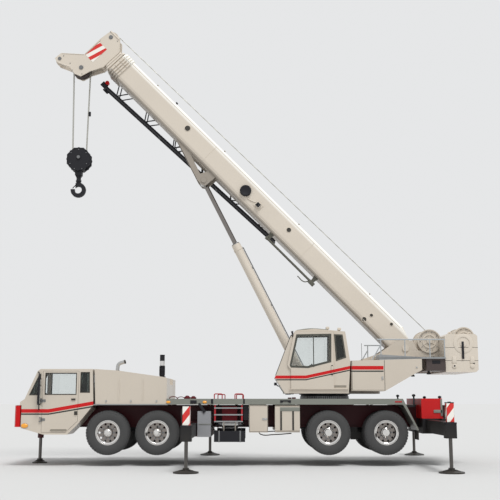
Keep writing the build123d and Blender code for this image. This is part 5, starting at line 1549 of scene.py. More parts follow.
# ------------------------------------------------------------------ upper works
@dataclass
class UpperWorks:
    """Aerial, seams, lifting eyes, winch windings and panel gear on the turntable and counterweight."""

    side: float = 1.22
    winches: tuple[Point, ...] = ((-4.615, 3.041, 0.3), (-5.495, 3.13, 0.27))
    cheek: float = 0.398
    rope: float = 0.018

    def build(self) -> None:
        """Fit out the turntable, the winches and the counterweight."""
        self.panels()
        self.winch_gear()
        self.counterweight()
        LOG.info("upper works")

    def panels(self) -> None:
        """Add the aerial, door seams, latches, bearing bolts, tank fittings and the walkways' grating."""
        aerial = Fitting("aerial", "upper", GASKET)
        aerial.rod((-2.79, 1.1, 2.5), (-2.79, 1.1, 2.55), 0.014, 10)
        aerial.rod((-2.79, 1.1, 2.55), (-2.79, 1.1, 2.94), 0.005, 8).done()
        skin, proud = self.side - 0.002, self.side + 0.002
        seam = Fitting("upper_door_seams", "upper", GASKET)
        for x in (-2.53, -3.322):
            seam.block((x - 0.004, skin, 1.8), (x + 0.004, proud, 2.505))
        seam.block((-3.322, skin, 1.8), (-2.53, proud, 1.806))
        for z in (2.566, 2.595):
            seam.block((-4.235, skin, z - 0.003), (-3.205, proud, z + 0.003))
        seam.both_sides().done()
        latch = Fitting("upper_door_latches", "upper", STAINLESS)
        latch.block((-3.29, skin, 2.05), (-3.245, self.side + 0.012, 2.13), 0.004)
        latch.block((-4.13, skin, 2.33), (-4.09, self.side + 0.012, 2.37), 0.004)
        latch.both_sides().done()
        bolts = Fitting("bearing_bolts", "upper", STEEL)
        bolts.rod((SWING_X + 0.622, 0.0, 1.721), (SWING_X + 0.622, 0.0, 1.736), 0.013, 6)
        bolts.repeat(around((SWING_X, 0.0, 0.0), UPRIGHT, 44)[1:]).done()
        ring = Fitting("bearing_teeth", "carrier", STEEL)
        # ring gear under the turntable
        ring.block((SWING_X + 0.6, -0.018, 1.535), (SWING_X + 0.622, 0.018, 1.66))
        ring.repeat(around((SWING_X, 0.0, 0.0), UPRIGHT, 72)[1:]).done()
        tank = Fitting("oil_tank_fittings", "upper", SATIN_BLACK)
        tank.rod((-4.55, 1.05, 2.565), (-4.55, 1.05, 2.62), 0.045, 18)
        tank.block((-4.7, 1.178, 2.44), (-4.5, 1.186, 2.52), 0.004)
        tank.rod((-4.43, 1.05, 2.275), (-4.43, 1.05, 2.215), 0.03, 12)
        tank.block((-4.475, 1.01, 2.185), (-4.385, 1.09, 2.222), 0.008).both_sides().done()
        mesh = Fitting("walkway_grating", "upper", GREY)
        mesh.block((-4.815, 0.66, 2.6005), (-4.807, 1.2, 2.608))
        mesh.repeat([moved(x=0.026 * i) for i in range(1, 22)]).both_sides().done()

    def winch_gear(self) -> None:
        """Add wound rope, flange rings, bolts and the winch hose."""
        for name, (x, z, radius) in zip(("main", "auxiliary"), self.winches):
            wound = Fitting(f"{name}_winch_rope", "upper", ROPE)
            turns = int(0.52 / self.rope)
            profile = [(-0.262, 0.165)]
            for i in range(turns):
                at = -0.26 + self.rope * i
                profile += [(at + 0.001, 0.186), (at + 0.005, 0.193), (at + 0.013, 0.193),
                            (at + 0.017, 0.186)]
            profile += [(0.262, 0.165)]
            wound.lathe(profile, (x, 0.0, z)).done()
            rings = Fitting(f"{name}_winch_side_rings", "upper", BOOM_CREAM)
            face = self.cheek - 0.028
            rings.lathe([(face, radius * 0.5), (face, radius * 0.6), (face + 0.014, radius * 0.6),
                         (face + 0.014, radius * 0.5)], (x, 0.0, z))
            hub = [(face, 0.0), (face, 0.075), (face + 0.022, 0.07), (face + 0.03, 0.05), (face + 0.03, 0.0)]
            rings.lathe(hub, (x, 0.0, z))
            for i in range(6):
                a = 2 * pi * (i + 0.5) / 6
                start = (x + radius * 0.26 * cos(a), face + 0.004, z + radius * 0.26 * sin(a))
                end = (x + radius * 0.5 * cos(a), face + 0.004, z + radius * 0.5 * sin(a))
                rings.rod(start, end, 0.01, 8)
            rings.both_sides().done()
            bolts = Fitting(f"{name}_winch_bolts", "upper", STEEL)
            bolts.rod((x + radius * 0.78, face - 0.002, z), (x + radius * 0.78, face + 0.012, z), 0.012, 6)
            bolts.repeat(around((x, 0.0, z), ACROSS, 10)[1:]).both_sides().done()
        hose = Fitting("winch_hoses", "upper", GASKET)
        hose.pipe([(-5.285, 0.43, 2.97), (-5.28, 0.447, 2.86), (-5.276, 0.452, 2.775)], 0.03)
        hose.both_sides().done()

    def counterweight(self) -> None:
        """Add the slabs' joints, lifting eyes, side gear and rear reflectors."""
        low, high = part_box("counterweight")
        seam = Fitting("counterweight_joints", "upper", GASKET)
        for z in (2.52, 2.84):
            for y in (low.y, high.y):
                seam.block((low.x - 0.002, y - 0.002, z - 0.004), (high.x + 0.001, y + 0.002, z + 0.004))
            seam.block((low.x - 0.003, low.y, z - 0.004), (low.x + 0.002, high.y, z + 0.004))
        seam.done()
        eyes = Fitting("counterweight_lifting_eyes", "upper", BOOM_CREAM)
        for x in (-5.5, -5.0):
            eyes.block((x - 0.07, 0.9, high.z - 0.004), (x + 0.07, 0.98, high.z + 0.01), 0.003)
            eyes.hoop((x, 0.94, high.z + 0.02), (0, 1, 0), 0.034, 0.012)
        eyes.both_sides().done()
        lugs = Fitting("counterweight_side_lugs", "upper", BOOM_CREAM)
        # round recess, hook plates and cone housings on each side
        recess = (-5.295, 0.0, 2.94)
        lugs.lathe([(1.098, 0.16), (1.098, 0.24), (1.108, 0.24), (1.112, 0.225), (1.112, 0.16)], recess)
        lugs.lathe([(1.098, 0.0), (1.098, 0.085), (1.116, 0.08), (1.12, 0.0)], recess)
        for x in (-5.06, -5.5):
            corners = ((x - 0.06, 2.46), (x + 0.06, 2.46), (x + 0.04, 2.62), (x - 0.04, 2.62))
            lugs.plate([(a, 1.098, z) for a, z in corners], (0.0, 0.016, 0.0), 0.003)
            lugs.rod((x, 1.096, 2.39), (x, 1.118, 2.39), 0.055, 24, 0.003)
        lugs.both_sides().done()
        black = Fitting("counterweight_side_gear", "upper", SATIN_BLACK)
        black.block((-5.305, 1.1205, 2.56), (-5.25, 1.132, 2.985), 0.006)
        black.rod((-5.533, 1.098, 2.464), (-5.533, 1.112, 2.464), 0.03, 18)
        black.rod((-5.06, 1.11, 2.39), (-5.06, 1.122, 2.39), 0.022, 6).both_sides().done()
        red = Fitting("counterweight_reflectors", "upper", RED_LENS)
        red.block((low.x - 0.006, 0.86, 2.4), (low.x + 0.002, 0.96, 2.46), 0.002).both_sides().done()


@dataclass
class OperatorCab:
    """Window rubbers, door gear, wiper, lamps, rails and controls of the crane cab."""

    inner: float = CAB_INNER
    outer: float = CAB_OUTER
    door_face: float = 1.276
    roof_lamps: tuple[tuple[float, float], ...] = ((-1.98, 3.262), (-2.27, 3.236))

    def build(self) -> None:
        """Fit out the cab and its sliding door."""
        door = Fitting("crane_cab_door_rubber", "operator_door", WINDOW_RUBBER)
        outline = [(-1.18, 3.15), (-2.035, 3.165), (-2.024, 2.475), (-1.455, 2.332), (-1.04, 2.345),
                   (-1.01, 2.4)]
        door.frame(outline, self.door_face - 0.004, 0.008, 0.048)
        door.block((-1.606, self.door_face - 0.018, 2.35), (-1.584, self.door_face + 0.002, 3.155), 0.003)
        door.done()
        gear = Fitting("crane_cab_door_gear", "operator_door", GASKET)
        gear.block((-2.062, self.door_face, 2.16), (-2.018, self.door_face + 0.006, 2.4), 0.002).done()
        rubber = Fitting("crane_cab_rubbers", "upper", WINDOW_RUBBER)
        rear = [(-2.103, 3.158), (-2.314, 3.148), (-2.392, 2.584), (-2.141, 2.5)]
        rubber.frame(rear, self.outer - 0.003, 0.008, 0.036)
        rubber.frame(rear, self.inner - 0.005, 0.008, 0.026)
        far_side = [(-1.15, 3.15), (-2.035, 3.165), (-2.024, 2.475), (-1.455, 2.332), (-1.01, 2.332),
                    (-0.965, 2.4)]
        rubber.frame(far_side, self.inner - 0.005, 0.008, 0.03)
        low, high = (-0.694, 2.178), (-1.068, 3.138)
        for y in (self.inner + 0.065, self.outer - 0.065):
            rubber.rod((low[0], y, low[1]), (high[0], y, high[1]), 0.014, 8)
        for x, z in (low, high):
            rubber.rod((x, self.inner + 0.06, z), (x, self.outer - 0.06, z), 0.014, 8)
        rubber.done()
        self.outside()
        self.controls()
        LOG.info("crane cab")

    def outside(self) -> None:
        """Add the wiper, lamps, mirror, rails, slots and roof guard."""
        wiper = Fitting("crane_cab_wiper", "upper", GASKET)
        wiper.pipe([(-1.075, 1.1, 3.105), (-0.965, 1.1, 2.86), (-0.868, 1.09, 2.625)], 0.008)
        wiper.rod((-0.955, 1.09, 2.885), (-0.735, 1.09, 2.32), 0.009, 6)
        wiper.rod((-1.075, 1.1, 3.09), (-1.06, 1.1, 3.14), 0.024, 12).done()
        iron = Fitting("crane_cab_lamps_and_mirror", "upper", SATIN_BLACK)
        iron.block((-0.7, 1.1, 1.915), (-0.63, 1.2, 1.985), 0.012)
        iron.pipe([(-0.76, 1.15, 1.9), (-0.72, 1.15, 1.905), (-0.69, 1.15, 1.935)], 0.012)
        iron.pipe([(-1.075, 1.19, 3.2), (-1.06, 1.235, 3.225), (-1.075, 1.25, 3.16)], 0.009)
        iron.block((-1.105, 1.236, 3.085), (-1.075, 1.262, 3.235), 0.01)
        for x, z in self.roof_lamps:
            iron.rod((x, 0.84, z), (x, 0.84, z + 0.045), 0.016, 12)
        iron.done()
        lamps = Fitting("crane_cab_work_lamps", "upper", BOOM_CREAM)
        for x, z in self.roof_lamps:
            lamps.block((x - 0.045, 0.78, z + 0.04), (x + 0.045, 0.9, z + 0.11), 0.016)
        lamps.done()
        lens = Fitting("crane_cab_lamp_lenses", "upper", CLEAR_LENS)
        for x, z in self.roof_lamps:
            lens.block((x + 0.043, 0.792, z + 0.05), (x + 0.05, 0.888, z + 0.1), 0.003)
        lens.block((-0.634, 1.112, 1.928), (-0.626, 1.188, 1.972), 0.003).done()
        rail = Fitting("crane_cab_grab_rails", "upper", GREY)
        rail.pipe([(-0.785, 1.205, 1.915), (-0.765, 1.215, 1.9), (-0.8, 1.215, 1.83),
                   (-0.862, 1.205, 1.745)], 0.011)
        rail.done()
        # dark slots of the louvre: painted shade in its openings
        slot = Fitting("crane_cab_louvre", "upper", SLOT_SHADE)
        for z in (1.874, 1.893, 1.912):
            slot.block((-2.384, self.outer - 0.002, z - 0.006), (-2.09, self.outer + 0.005, z + 0.006), 0.002)
        slot.done()
        guard = Fitting("crane_cab_roof_guard", "upper", GREY)
        for y in (0.56, 0.72, SEAT_MIDDLE, 0.97, 1.13):
            guard.pipe([(-1.2, y, 3.262), (-1.55, y, 3.302), (-1.96, y, 3.274)], 0.008)
        guard.done()

    def controls(self) -> None:
        """Add joysticks, the display and the pedals."""
        box = Fitting("crane_cab_controls", "upper", TRIM)
        for y in (0.56, 1.14):
            box.block((-1.66, y - 0.045, 2.278), (-1.5, y + 0.045, 2.3), 0.008)
            box.rod((-1.575, y, 2.298), (-1.56, y, 2.37), 0.009, 10)
            box.ball((-1.556, y, 2.4), (0.024, 0.022, 0.04))
        box.block((-1.01, 0.7, 2.34), (-0.96, 0.98, 2.52), 0.012)
        for y in (0.76, 0.92):
            box.block((-1.02, y - 0.045, 1.763), (-0.94, y + 0.045, 1.8), 0.01)
        box.done()


@dataclass
class Pads:
    """Seat cushions and backs, swollen by cloth under pressure."""

    voxel: float = 0.01
    pressure: float = 4.0
    steps: int = 20
    proud: float = 0.016        # how far a point may swell out

    def build(self) -> None:
        """Model the driver's and the operator's cushions."""
        middle = SEAT_MIDDLE
        self.pad("driver_seat_cushion", "carrier", (4.18, middle - 0.252, 1.172),
                 (4.712, middle + 0.252, 1.325), 0.0)
        self.pad("driver_seat_back", "carrier", (4.155, middle - 0.252, 1.3), (4.29, middle + 0.252, 1.975),
                 14.5, (-0.065, 0.0, 0.0))
        self.pad("operator_seat_cushion", "upper", (-2.06, middle - 0.242, 2.052),
                 (-1.538, middle + 0.242, 2.205), 0.0)
        self.pad("operator_seat_back", "upper", (-2.15, middle - 0.242, 2.19),
                 (-2.015, middle + 0.242, 2.83), 11.5, (-0.05, 0.0, 0.0))
        LOG.info("seats")

    def pad(self, name: str, body: str, low: Point, high: Point, lean: float,
            shift: Point = (0.0, 0.0, 0.0)) -> None:
        """Make one cushion.

        Args:
            name: The piece's name.
            body: The body that it rides on.
            low: Lowest corner, upright.
            high: Highest corner, upright.
            lean: How far it leans back, in degrees.
            shift: Moved by this once it leans.
        """
        pad = Fitting(name, body, CLOTH, 60.0)
        pad.block(tuple(a + self.proud * 0.6 for a in low), tuple(b - self.proud * 0.6 for b in high), 0.034)
        piece = pad.parts[0]
        centre = ((low[0] + high[0]) / 2, 0.0, (low[2] + high[2]) / 2)
        piece.data.transform(moved(*shift) @ turned_about(centre, ACROSS, radians(-lean)))
        remesh = piece.modifiers.new("voxels", "REMESH")
        remesh.mode = "VOXEL"
        remesh.voxel_size = self.voxel
        Fitting.clear()
        bpy.context.view_layer.objects.active = piece
        bpy.ops.object.modifier_apply(modifier=remesh.name)
        rest = [v.co.copy() for v in piece.data.vertices]
        cloth = piece.modifiers.new("swelling", "CLOTH")
        cloth.settings.use_pressure = True
        cloth.settings.uniform_pressure_force = self.pressure
        cloth.settings.effector_weights.gravity = 0.0
        for step in range(1, self.steps + 1):
            bpy.context.scene.frame_set(step)
        bpy.ops.object.modifier_apply(modifier=cloth.name)
        bpy.context.scene.frame_set(1)
        for vertex, start in zip(piece.data.vertices, rest):
            way = vertex.co - start
            if way.length > self.proud:
                vertex.co = start + way.normalized() * self.proud
        self.channels(piece, low, high, centre, lean, shift)
        smooth = piece.modifiers.new("smoothing", "SUBSURF")
        smooth.levels = 1
        smooth.render_levels = 1
        bpy.ops.object.modifier_apply(modifier=smooth.name)
        pad.done()

    def channels(self, piece: bpy.types.Object, low: Point, high: Point, centre: Point, lean: float,
                 shift: Point) -> None:
        """Press three sewn channels across the pad's face and pull its sides in a little.

        Args:
            piece: The finished pad.
            low: Lowest corner of the pad before it is leant.
            high: Highest corner of it.
            centre: The point that it leans about.
            lean: How far it leans, in degrees.
            shift: How far it is moved after that.
        """
        back = (moved(*shift) @ turned_about(centre, ACROSS, radians(-lean))).inverted()
        forth = back.inverted()
        tall = high[2] - low[2] > high[0] - low[0]
        axis = 2 if tall else 0
        for vertex in piece.data.vertices:
            place = back @ vertex.co
            along = (place[axis] - low[axis]) / (high[axis] - low[axis])
            groove = max(exp(-((along - at) / 0.022) ** 2) for at in (0.25, 0.5, 0.75))
            if tall:
                place.x -= 0.01 * groove if place.x > centre[0] else 0.0
            else:
                place.z -= 0.01 * groove if place.z > centre[2] else 0.0
            place.y -= (place.y - SEAT_MIDDLE) * 0.03 * sin(pi * min(1.0, max(0.0, along)))
            vertex.co = forth @ place


# ------------------------------------------------------------------ boom and hoist
def stretching_rope(
    name: str, bodies: tuple[str, str], lines: Sequence[tuple[Point, Point]], span: tuple[Point, Point],
    radius: float = 0.009, count: int = 24,
) -> bpy.types.Object:
    """Model straight ropes between given points, each in short lengths.

    Args:
        name: The piece's name.
        bodies: The bodies that the ropes run between.
        lines: Where each rope starts and ends.
        span: Not used.
        radius: The rope's radius.
        count: Lengths that each rope is divided into.

    Returns:
        The finished piece.
    """
    rope = Fitting(name, bodies[0], ROPE, 60.0)
    for start, end in lines:
        points = [Vector(start).lerp(Vector(end), i / count) for i in range(count + 1)]
        for here, there in zip(points, points[1:]):
            rope.rod(tuple(here), tuple(there), radius, 8)
    piece = rope.merge()
    piece.name = name
    piece.data.name = name
    piece.data.materials.clear()
    piece.data.materials.append(ROPE.material())
    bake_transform(piece)
    return piece


@dataclass
class Boom:
    """Weld lines, painted shade in the wall holes, the round cover, lamp, head gear and the hoist rope."""

    tilt: float = radians(45.4)
    half: float = 0.28
    length: float = 10.8
    top: float = 0.36
    bottom: float = -0.3
    rope_side: float = 0.055     # Y of the hoist rope
    pivot: Vector = field(default_factory=lambda: sum(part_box("boom_foot_pin"), Vector()) / 2)

    def at(self, along: float, above: float, y: float = 0.0) -> Point:
        """Return the place of a point given along and above the boom's pin line."""
        return (self.pivot.x + along * cos(self.tilt) - above * sin(self.tilt), y,
                self.pivot.z + along * sin(self.tilt) + above * cos(self.tilt))

    def lay(self) -> Matrix:
        """Return the placement that lays X along the boom and Z above it."""
        return Matrix.Translation(self.pivot) @ Matrix.Rotation(-self.tilt, 4, "Y")

    def squared(self, name: str, body: str, finish: Finish) -> "Laid":
        """Return a fitting whose boxes are given along, across and above the boom."""
        return Laid(name, body, finish, self.lay())

    def build(self) -> None:
        """Fit out the sections, the head and the ropes."""
        self.base()
        self.wall_gear()
        self.head()
        self.ropes()
        LOG.info("boom")

    def base(self) -> None:
        """Add the weld lines, painted shade in the side holes with the holes' rims, and the rope guides."""
        skin, joints = self.half - 0.001, (3.55, 7.2)
        weld = self.squared("boom_weld_lines", "boom_base", BOOM_CREAM)
        for above in (self.top - 0.07, self.bottom + 0.07):
            weld.box(0.45, self.length - 0.35, skin, self.half + 0.0035, above - 0.006, above + 0.006)
        for along in joints:
            weld.box(along - 0.005, along + 0.005, skin, self.half + 0.0035, self.bottom + 0.07,
                     self.top - 0.07)
        weld.both_sides()
        for along in joints:
            weld.box(along - 0.008, along + 0.008, -0.22, 0.22, self.top - 0.001, self.top + 0.006)
        weld.done()
        hole_shades = self.squared("boom_wall_hole_shades", "boom_base", GASKET)
        rims = self.squared("boom_hole_rims", "boom_base", BOOM_CREAM)
        # dark discs in the wall's holes: painted shade of the hollow boom inside
        for along, above, radius in ((8.11, 0.1, 0.075), (4.26, 0.07, 0.06), (1.25, -0.21, 0.06),
                                     (1.19, 0.0, 0.04), (0.67, 0.2, 0.04)):
            place = self.at(along, above)
            hole_shades.lathe([(skin, 0.0), (skin, radius), (self.half + 0.003, radius),
                         (self.half + 0.003, 0.0)], place, steps=24)
            rims.lathe([(skin, radius), (skin, radius + 0.012), (self.half + 0.007, radius + 0.01),
                        (self.half + 0.007, radius)], place, steps=24)
        hole_shades.both_sides().done()
        rims.both_sides().done()
        guide = self.squared("boom_rope_guides", "boom_base", BOOM_CREAM)
        for along in (1.6, 4.2, 7.0, 9.6):
            for y in (-0.092, 0.092):
                guide.box(along - 0.02, along + 0.02, y - 0.008, y + 0.008, self.top - 0.002,
                          self.top + 0.055)
            guide.rod(self.at(along, self.top + 0.035, -0.1), self.at(along, self.top + 0.035, 0.1), 0.016)
        guide.done()

    def wall_gear(self) -> None:
        """Add the round cover's face, the lamp, the rest's fittings, the top sensor and the collar bolts."""
        cover = self.squared("boom_cover_face", "boom_base", SATIN_BLACK)
        place = self.at(5.8, 0.0)
        face = self.half + 0.06
        skin = self.half - 0.001
        cover.lathe([(skin, 0.0), (skin, 0.15), (face - 0.01, 0.15), (face + 0.004, 0.138),
                     (face + 0.006, 0.108), (face + 0.002, 0.1), (face + 0.002, 0.0)], place, steps=48)
        for i in range(8):
            a = pi * i / 4
            x, y, z = self.at(5.8 + 0.122 * cos(a), 0.122 * sin(a))
            cover.rod((x, face + 0.004, z), (x, face + 0.01, z), 0.006, 6)
        cover.done()
        lamp = self.squared("boom_work_lamp", "boom_base", BOOM_CREAM)
        lamp.box(5.18, 5.4, self.half, self.half + 0.012, -0.13, 0.05)
        lamp.box(5.225, 5.365, self.half + 0.05, self.half + 0.066, -0.11, 0.03, 0.012)
        lamp.pipe([self.at(5.38, -0.02, self.half + 0.01), self.at(5.55, -0.09, self.half + 0.012),
                   self.at(5.75, -0.115, self.half + 0.012)], 0.01).done()
        lens = self.squared("boom_work_lamp_lens", "boom_base", CLEAR_LENS)
        lens.box(5.262, 5.328, self.half + 0.062, self.half + 0.07, -0.074, -0.006, 0.006).done()
        hook = self.squared("boom_rest_fittings", "boom_base", STRIPE_GREY_PAINT)
        hook.box(2.78, 2.96, 0.15, 0.235, -0.545, -0.445, 0.012)
        hook.pipe([self.at(2.95, -0.5, 0.195), self.at(3.02, -0.6, 0.195), self.at(3.25, -0.62, 0.195)],
                  0.014)
        hook.box(4.49, 4.56, 0.16, 0.23, -0.52, -0.44, 0.01).done()
        post = self.squared("boom_top_sensor", "boom_base", SATIN_BLACK)
        post.rod(self.at(8.95, self.top - 0.004, -0.16), self.at(8.95, self.top + 0.09, -0.16), 0.008, 8)
        post.box(8.92, 8.98, -0.19, -0.13, self.top + 0.085, self.top + 0.12, 0.006).done()
        bolts = self.squared("boom_collar_bolts", "boom_base", STEEL)
        for rib in range(4):
            along = self.length - 0.3 + 0.08 * rib
            for above in (-0.22, -0.08, 0.1, 0.26):
                x, y, z = self.at(along, above)
                bolts.rod((x, self.half + 0.028, z), (x, self.half + 0.036, z), 0.01, 6)
        bolts.both_sides().done()

    def head(self) -> None:
        """Add the head's film, pin caps, stiffeners and rope keepers, and the stowed jib's gear."""
        far = self.length
        film = self.squared("head_hazard_film", "boom_tip", HEAD_FILM)
        film.box(far + 0.49, far + 0.785, 0.19, 0.1945, -0.42, 0.1).both_sides().done()
        caps = self.squared("head_pin_caps", "boom_tip", STEEL)
        for along, above, radius in ((0.602, -0.747, 0.062), (0.67, 0.421, 0.058), (1.2, -0.99, 0.05)):
            x, y, z = place = self.at(far + along, above)
            caps.lathe([(0.188, 0.0), (0.188, radius), (0.204, radius * 0.94), (0.206, 0.0)], place, steps=24)
            for i in range(4):
                a = pi * i / 2
                caps.rod((x + 0.6 * radius * cos(a), 0.2, z + 0.6 * radius * sin(a)),
                         (x + 0.6 * radius * cos(a), 0.212, z + 0.6 * radius * sin(a)), 0.007, 6)
        caps.both_sides().done()
        trim = self.squared("head_stiffeners", "boom_tip", BOOM_CREAM)
        edges = (
            ((0.46, 0.545), (0.79, 0.545)), ((0.815, 0.18), (0.81, -0.4)), ((0.82, -0.44), (1.27, -0.85)),
            ((1.15, -1.095), (0.83, -0.95)), ((0.6, -0.985), (0.44, -0.915)), ((0.425, -0.91), (0.36, -0.65)),
            ((0.2, -0.32), (0.345, -0.62)), ((0.2, 0.3), (0.44, 0.545)),
        )
        for a, b in edges:
            trim.rod(self.at(far + a[0], a[1], 0.19), self.at(far + b[0], b[1], 0.19), 0.01, 8)
        trim.both_sides().done()
        pin = self.squared("head_rope_keepers", "boom_tip", STEEL)
        for along, above in ((0.46, 0.47), (0.79, 0.52), (0.9, -0.88), (0.45, -0.86), (0.72, -0.97),
                             (1.18, -0.86)):
            pin.rod(self.at(far + along, above, -0.2), self.at(far + along, above, 0.2), 0.012, 10)
        pin.done()
        red = self.squared("jib_pin_handle", "boom_base", RED)
        red.lathe([(-0.5, 0.0), (-0.5, 0.055), (-0.4, 0.055), (-0.4, 0.0)], self.at(far + 0.02, -0.455),
                  steps=20)
        red.done()
        link = self.squared("jib_head_gear", "boom_base", SATIN_BLACK)
        for y in (-0.43, -0.83):
            link.box(far - 0.06, far + 0.12, y - 0.025, y + 0.025, -0.63, -0.49, 0.01)
            link.box(far - 0.06, far + 0.12, y - 0.025, y + 0.025, 0.235, 0.365, 0.01)
        link.rod(self.at(far + 0.06, -0.56, -0.84), self.at(far + 0.06, -0.56, -0.42), 0.045, 20)
        for along in (7.9, 8.05):
            link.pipe([self.at(along, -0.3, -0.3), self.at(along + 0.05, -0.4, -0.36),
                       self.at(along, -0.44, -0.42)], 0.014)
        link.done()

    def ropes(self) -> None:
        """Add the hoist rope in straight lengths, one for each span between two bodies, the head's rope and
        the limit weight.
        """
        start = (-0.28, 0.752)
        end = (self.length + 0.6, 0.601)
        slope = (end[1] - start[1]) / (end[0] - start[0])

        def over(along: float) -> Point:
            """Return the place of the rope above a point of the pin line."""
            return self.at(along, start[1] + slope * (along - start[0]), self.rope_side)

        spans = ((start[0], 0.25, "upper", "boom_foot_pin"), (0.25, 0.8, "boom_foot_pin", "boom_base"),
                 (0.8, 4.4, "boom_base", "boom_mid_1"), (4.4, 8.0, "boom_mid_1", "boom_mid_2"),
                 (8.0, end[0], "boom_mid_2", "boom_tip"))
        for number, (near, far, body, next_body) in enumerate(spans, 1):
            stretching_rope(f"hoist_rope_{number}", (body, next_body), [(over(near), over(far))],
                            (over(near), over(far)))
        down = Fitting("head_running_rope", "boom_tip", ROPE, 60.0)
        bend = ((0.6, 0.601), (0.74, 0.588), (0.835, 0.5), (0.85, 0.4), (0.832, -0.72))
        route = [self.at(self.length + along, above, self.rope_side) for along, above in bend]
        down.pipe(route[:4], 0.009)
        down.rod(route[3], route[4], 0.009, 8).done()
        weight = Fitting("hoist_limit_weight", "hoist_falls", SATIN_BLACK)
        x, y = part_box("hoist_falls")[0].x + 0.009, -self.rope_side
        weight.rod((x, y, 9.16), (x, y, 9.28), 0.034, 18, 0.004)
        weight.rod((x + 0.02, y, 9.28), (x + 0.02, y, 9.92), 0.003, 6).done()


class Laid(Fitting):
    """A fitting whose boxes are squared to the boom."""

    def __init__(self, name: str, body: str, finish: Finish, lay: Matrix) -> None:
        """Start an empty piece that is laid along the boom."""
        super().__init__(name, body, finish)
        self.lay = lay

    def box(
        self, near: float, far: float, right: float, left: float, low: float, high: float, bevel: float = 0.0,
    ) -> Self:
        """Add a box given along, across and above the boom's pin line.

        Args:
            near: Where it starts along the boom.
            far: Where it ends along the boom.
            right: Lowest Y.
            left: Highest Y.
            low: Lowest height.
            high: Highest height.
            bevel: Width of the rounded edges.

        Returns:
            The same piece.
        """
        self.block((near, right, low), (far, left, high), bevel)
        self.parts[-1].data.transform(self.lay)
        return self


@dataclass
class HookBlock:
    """Falls, nuts, cheek rims, rope guards and the hook's latch."""

    head_pin_z: float = 10.459
    block_pin_z: float = 7.96
    head_reach: float = 0.2253
    block_reach: float = 0.1803
    cheek_z: float = 7.91
    cheek_reach: float = 0.322

    def build(self) -> None:
        """Fit out the hook block."""
        low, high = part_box("hook_block")
        x = (low.x + high.x) / 2
        self.falls(x)
        iron = Fitting("hook_block_fittings", "hook_block", STEEL)
        iron.lathe([(0.148, 0.0), (0.148, 0.048), (0.16, 0.044), (0.162, 0.0)], (x, 0.0, self.block_pin_z),
                   steps=24)
        for dx, z in ((0.2, 8.08), (-0.2, 8.08), (0.22, 7.78), (-0.22, 7.78), (0.0, 8.17), (0.1, 7.64),
                      (-0.1, 7.64)):
            iron.rod((x + dx, 0.128, z), (x + dx, 0.142, z), 0.014, 6)
        iron.both_sides().done()
        black = Fitting("hook_block_nut_and_latch", "hook_block", SATIN_BLACK)
        black.rod((x, 0.0, 7.44), (x, 0.0, 7.486), 0.085, 6)
        black.lathe([(7.3, 0.0), (7.3, 0.066), (7.318, 0.074), (7.345, 0.074), (7.36, 0.062), (7.36, 0.0)],
                    (x, 0.0, 0.0), UPRIGHT)
        for y in (-0.06, 0.045):
            black.block((x - 0.18, y, 8.12), (x + 0.18, y + 0.015, 8.15), 0.003)
        black.pipe([(x + 0.05, 0.0, 7.235), (x + 0.1, 0.0, 7.2), (x + 0.155, 0.0, 7.135)], 0.012)
        black.rod((x + 0.05, -0.045, 7.235), (x + 0.05, 0.045, 7.235), 0.014, 10).done()
        face = Fitting("hook_block_cheek_rims", "hook_block", SATIN_BLACK)
        reach, angles = self.cheek_reach, [pi * i / 4 for i in range(8)]
        corners = [(x + reach * cos(a), 0.1305, self.cheek_z + reach * sin(a)) for a in angles]
        for a, b in zip(corners, corners[1:] + corners[:1]):
            face.rod(a, b, 0.007, 8)
        face.both_sides().done()
        LOG.info("hook block")

    def falls(self, x: float) -> None:
        """Stand in for the CAD falls with four straight ropes.

        Args:
            x: Middle of the falls along X.
        """
        lines = [
            ((x + side * self.head_reach, y, self.head_pin_z),
             (x + side * self.block_reach, y, self.block_pin_z))
            for side in (-1, 1) for y in (-0.055, 0.055)
        ]
        span = ((x, 0.0, self.head_pin_z), (x, 0.0, self.block_pin_z))
        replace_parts(stretching_rope("fall_ropes", ("hoist_falls", "hook_block"), lines, span), "hoist_falls")


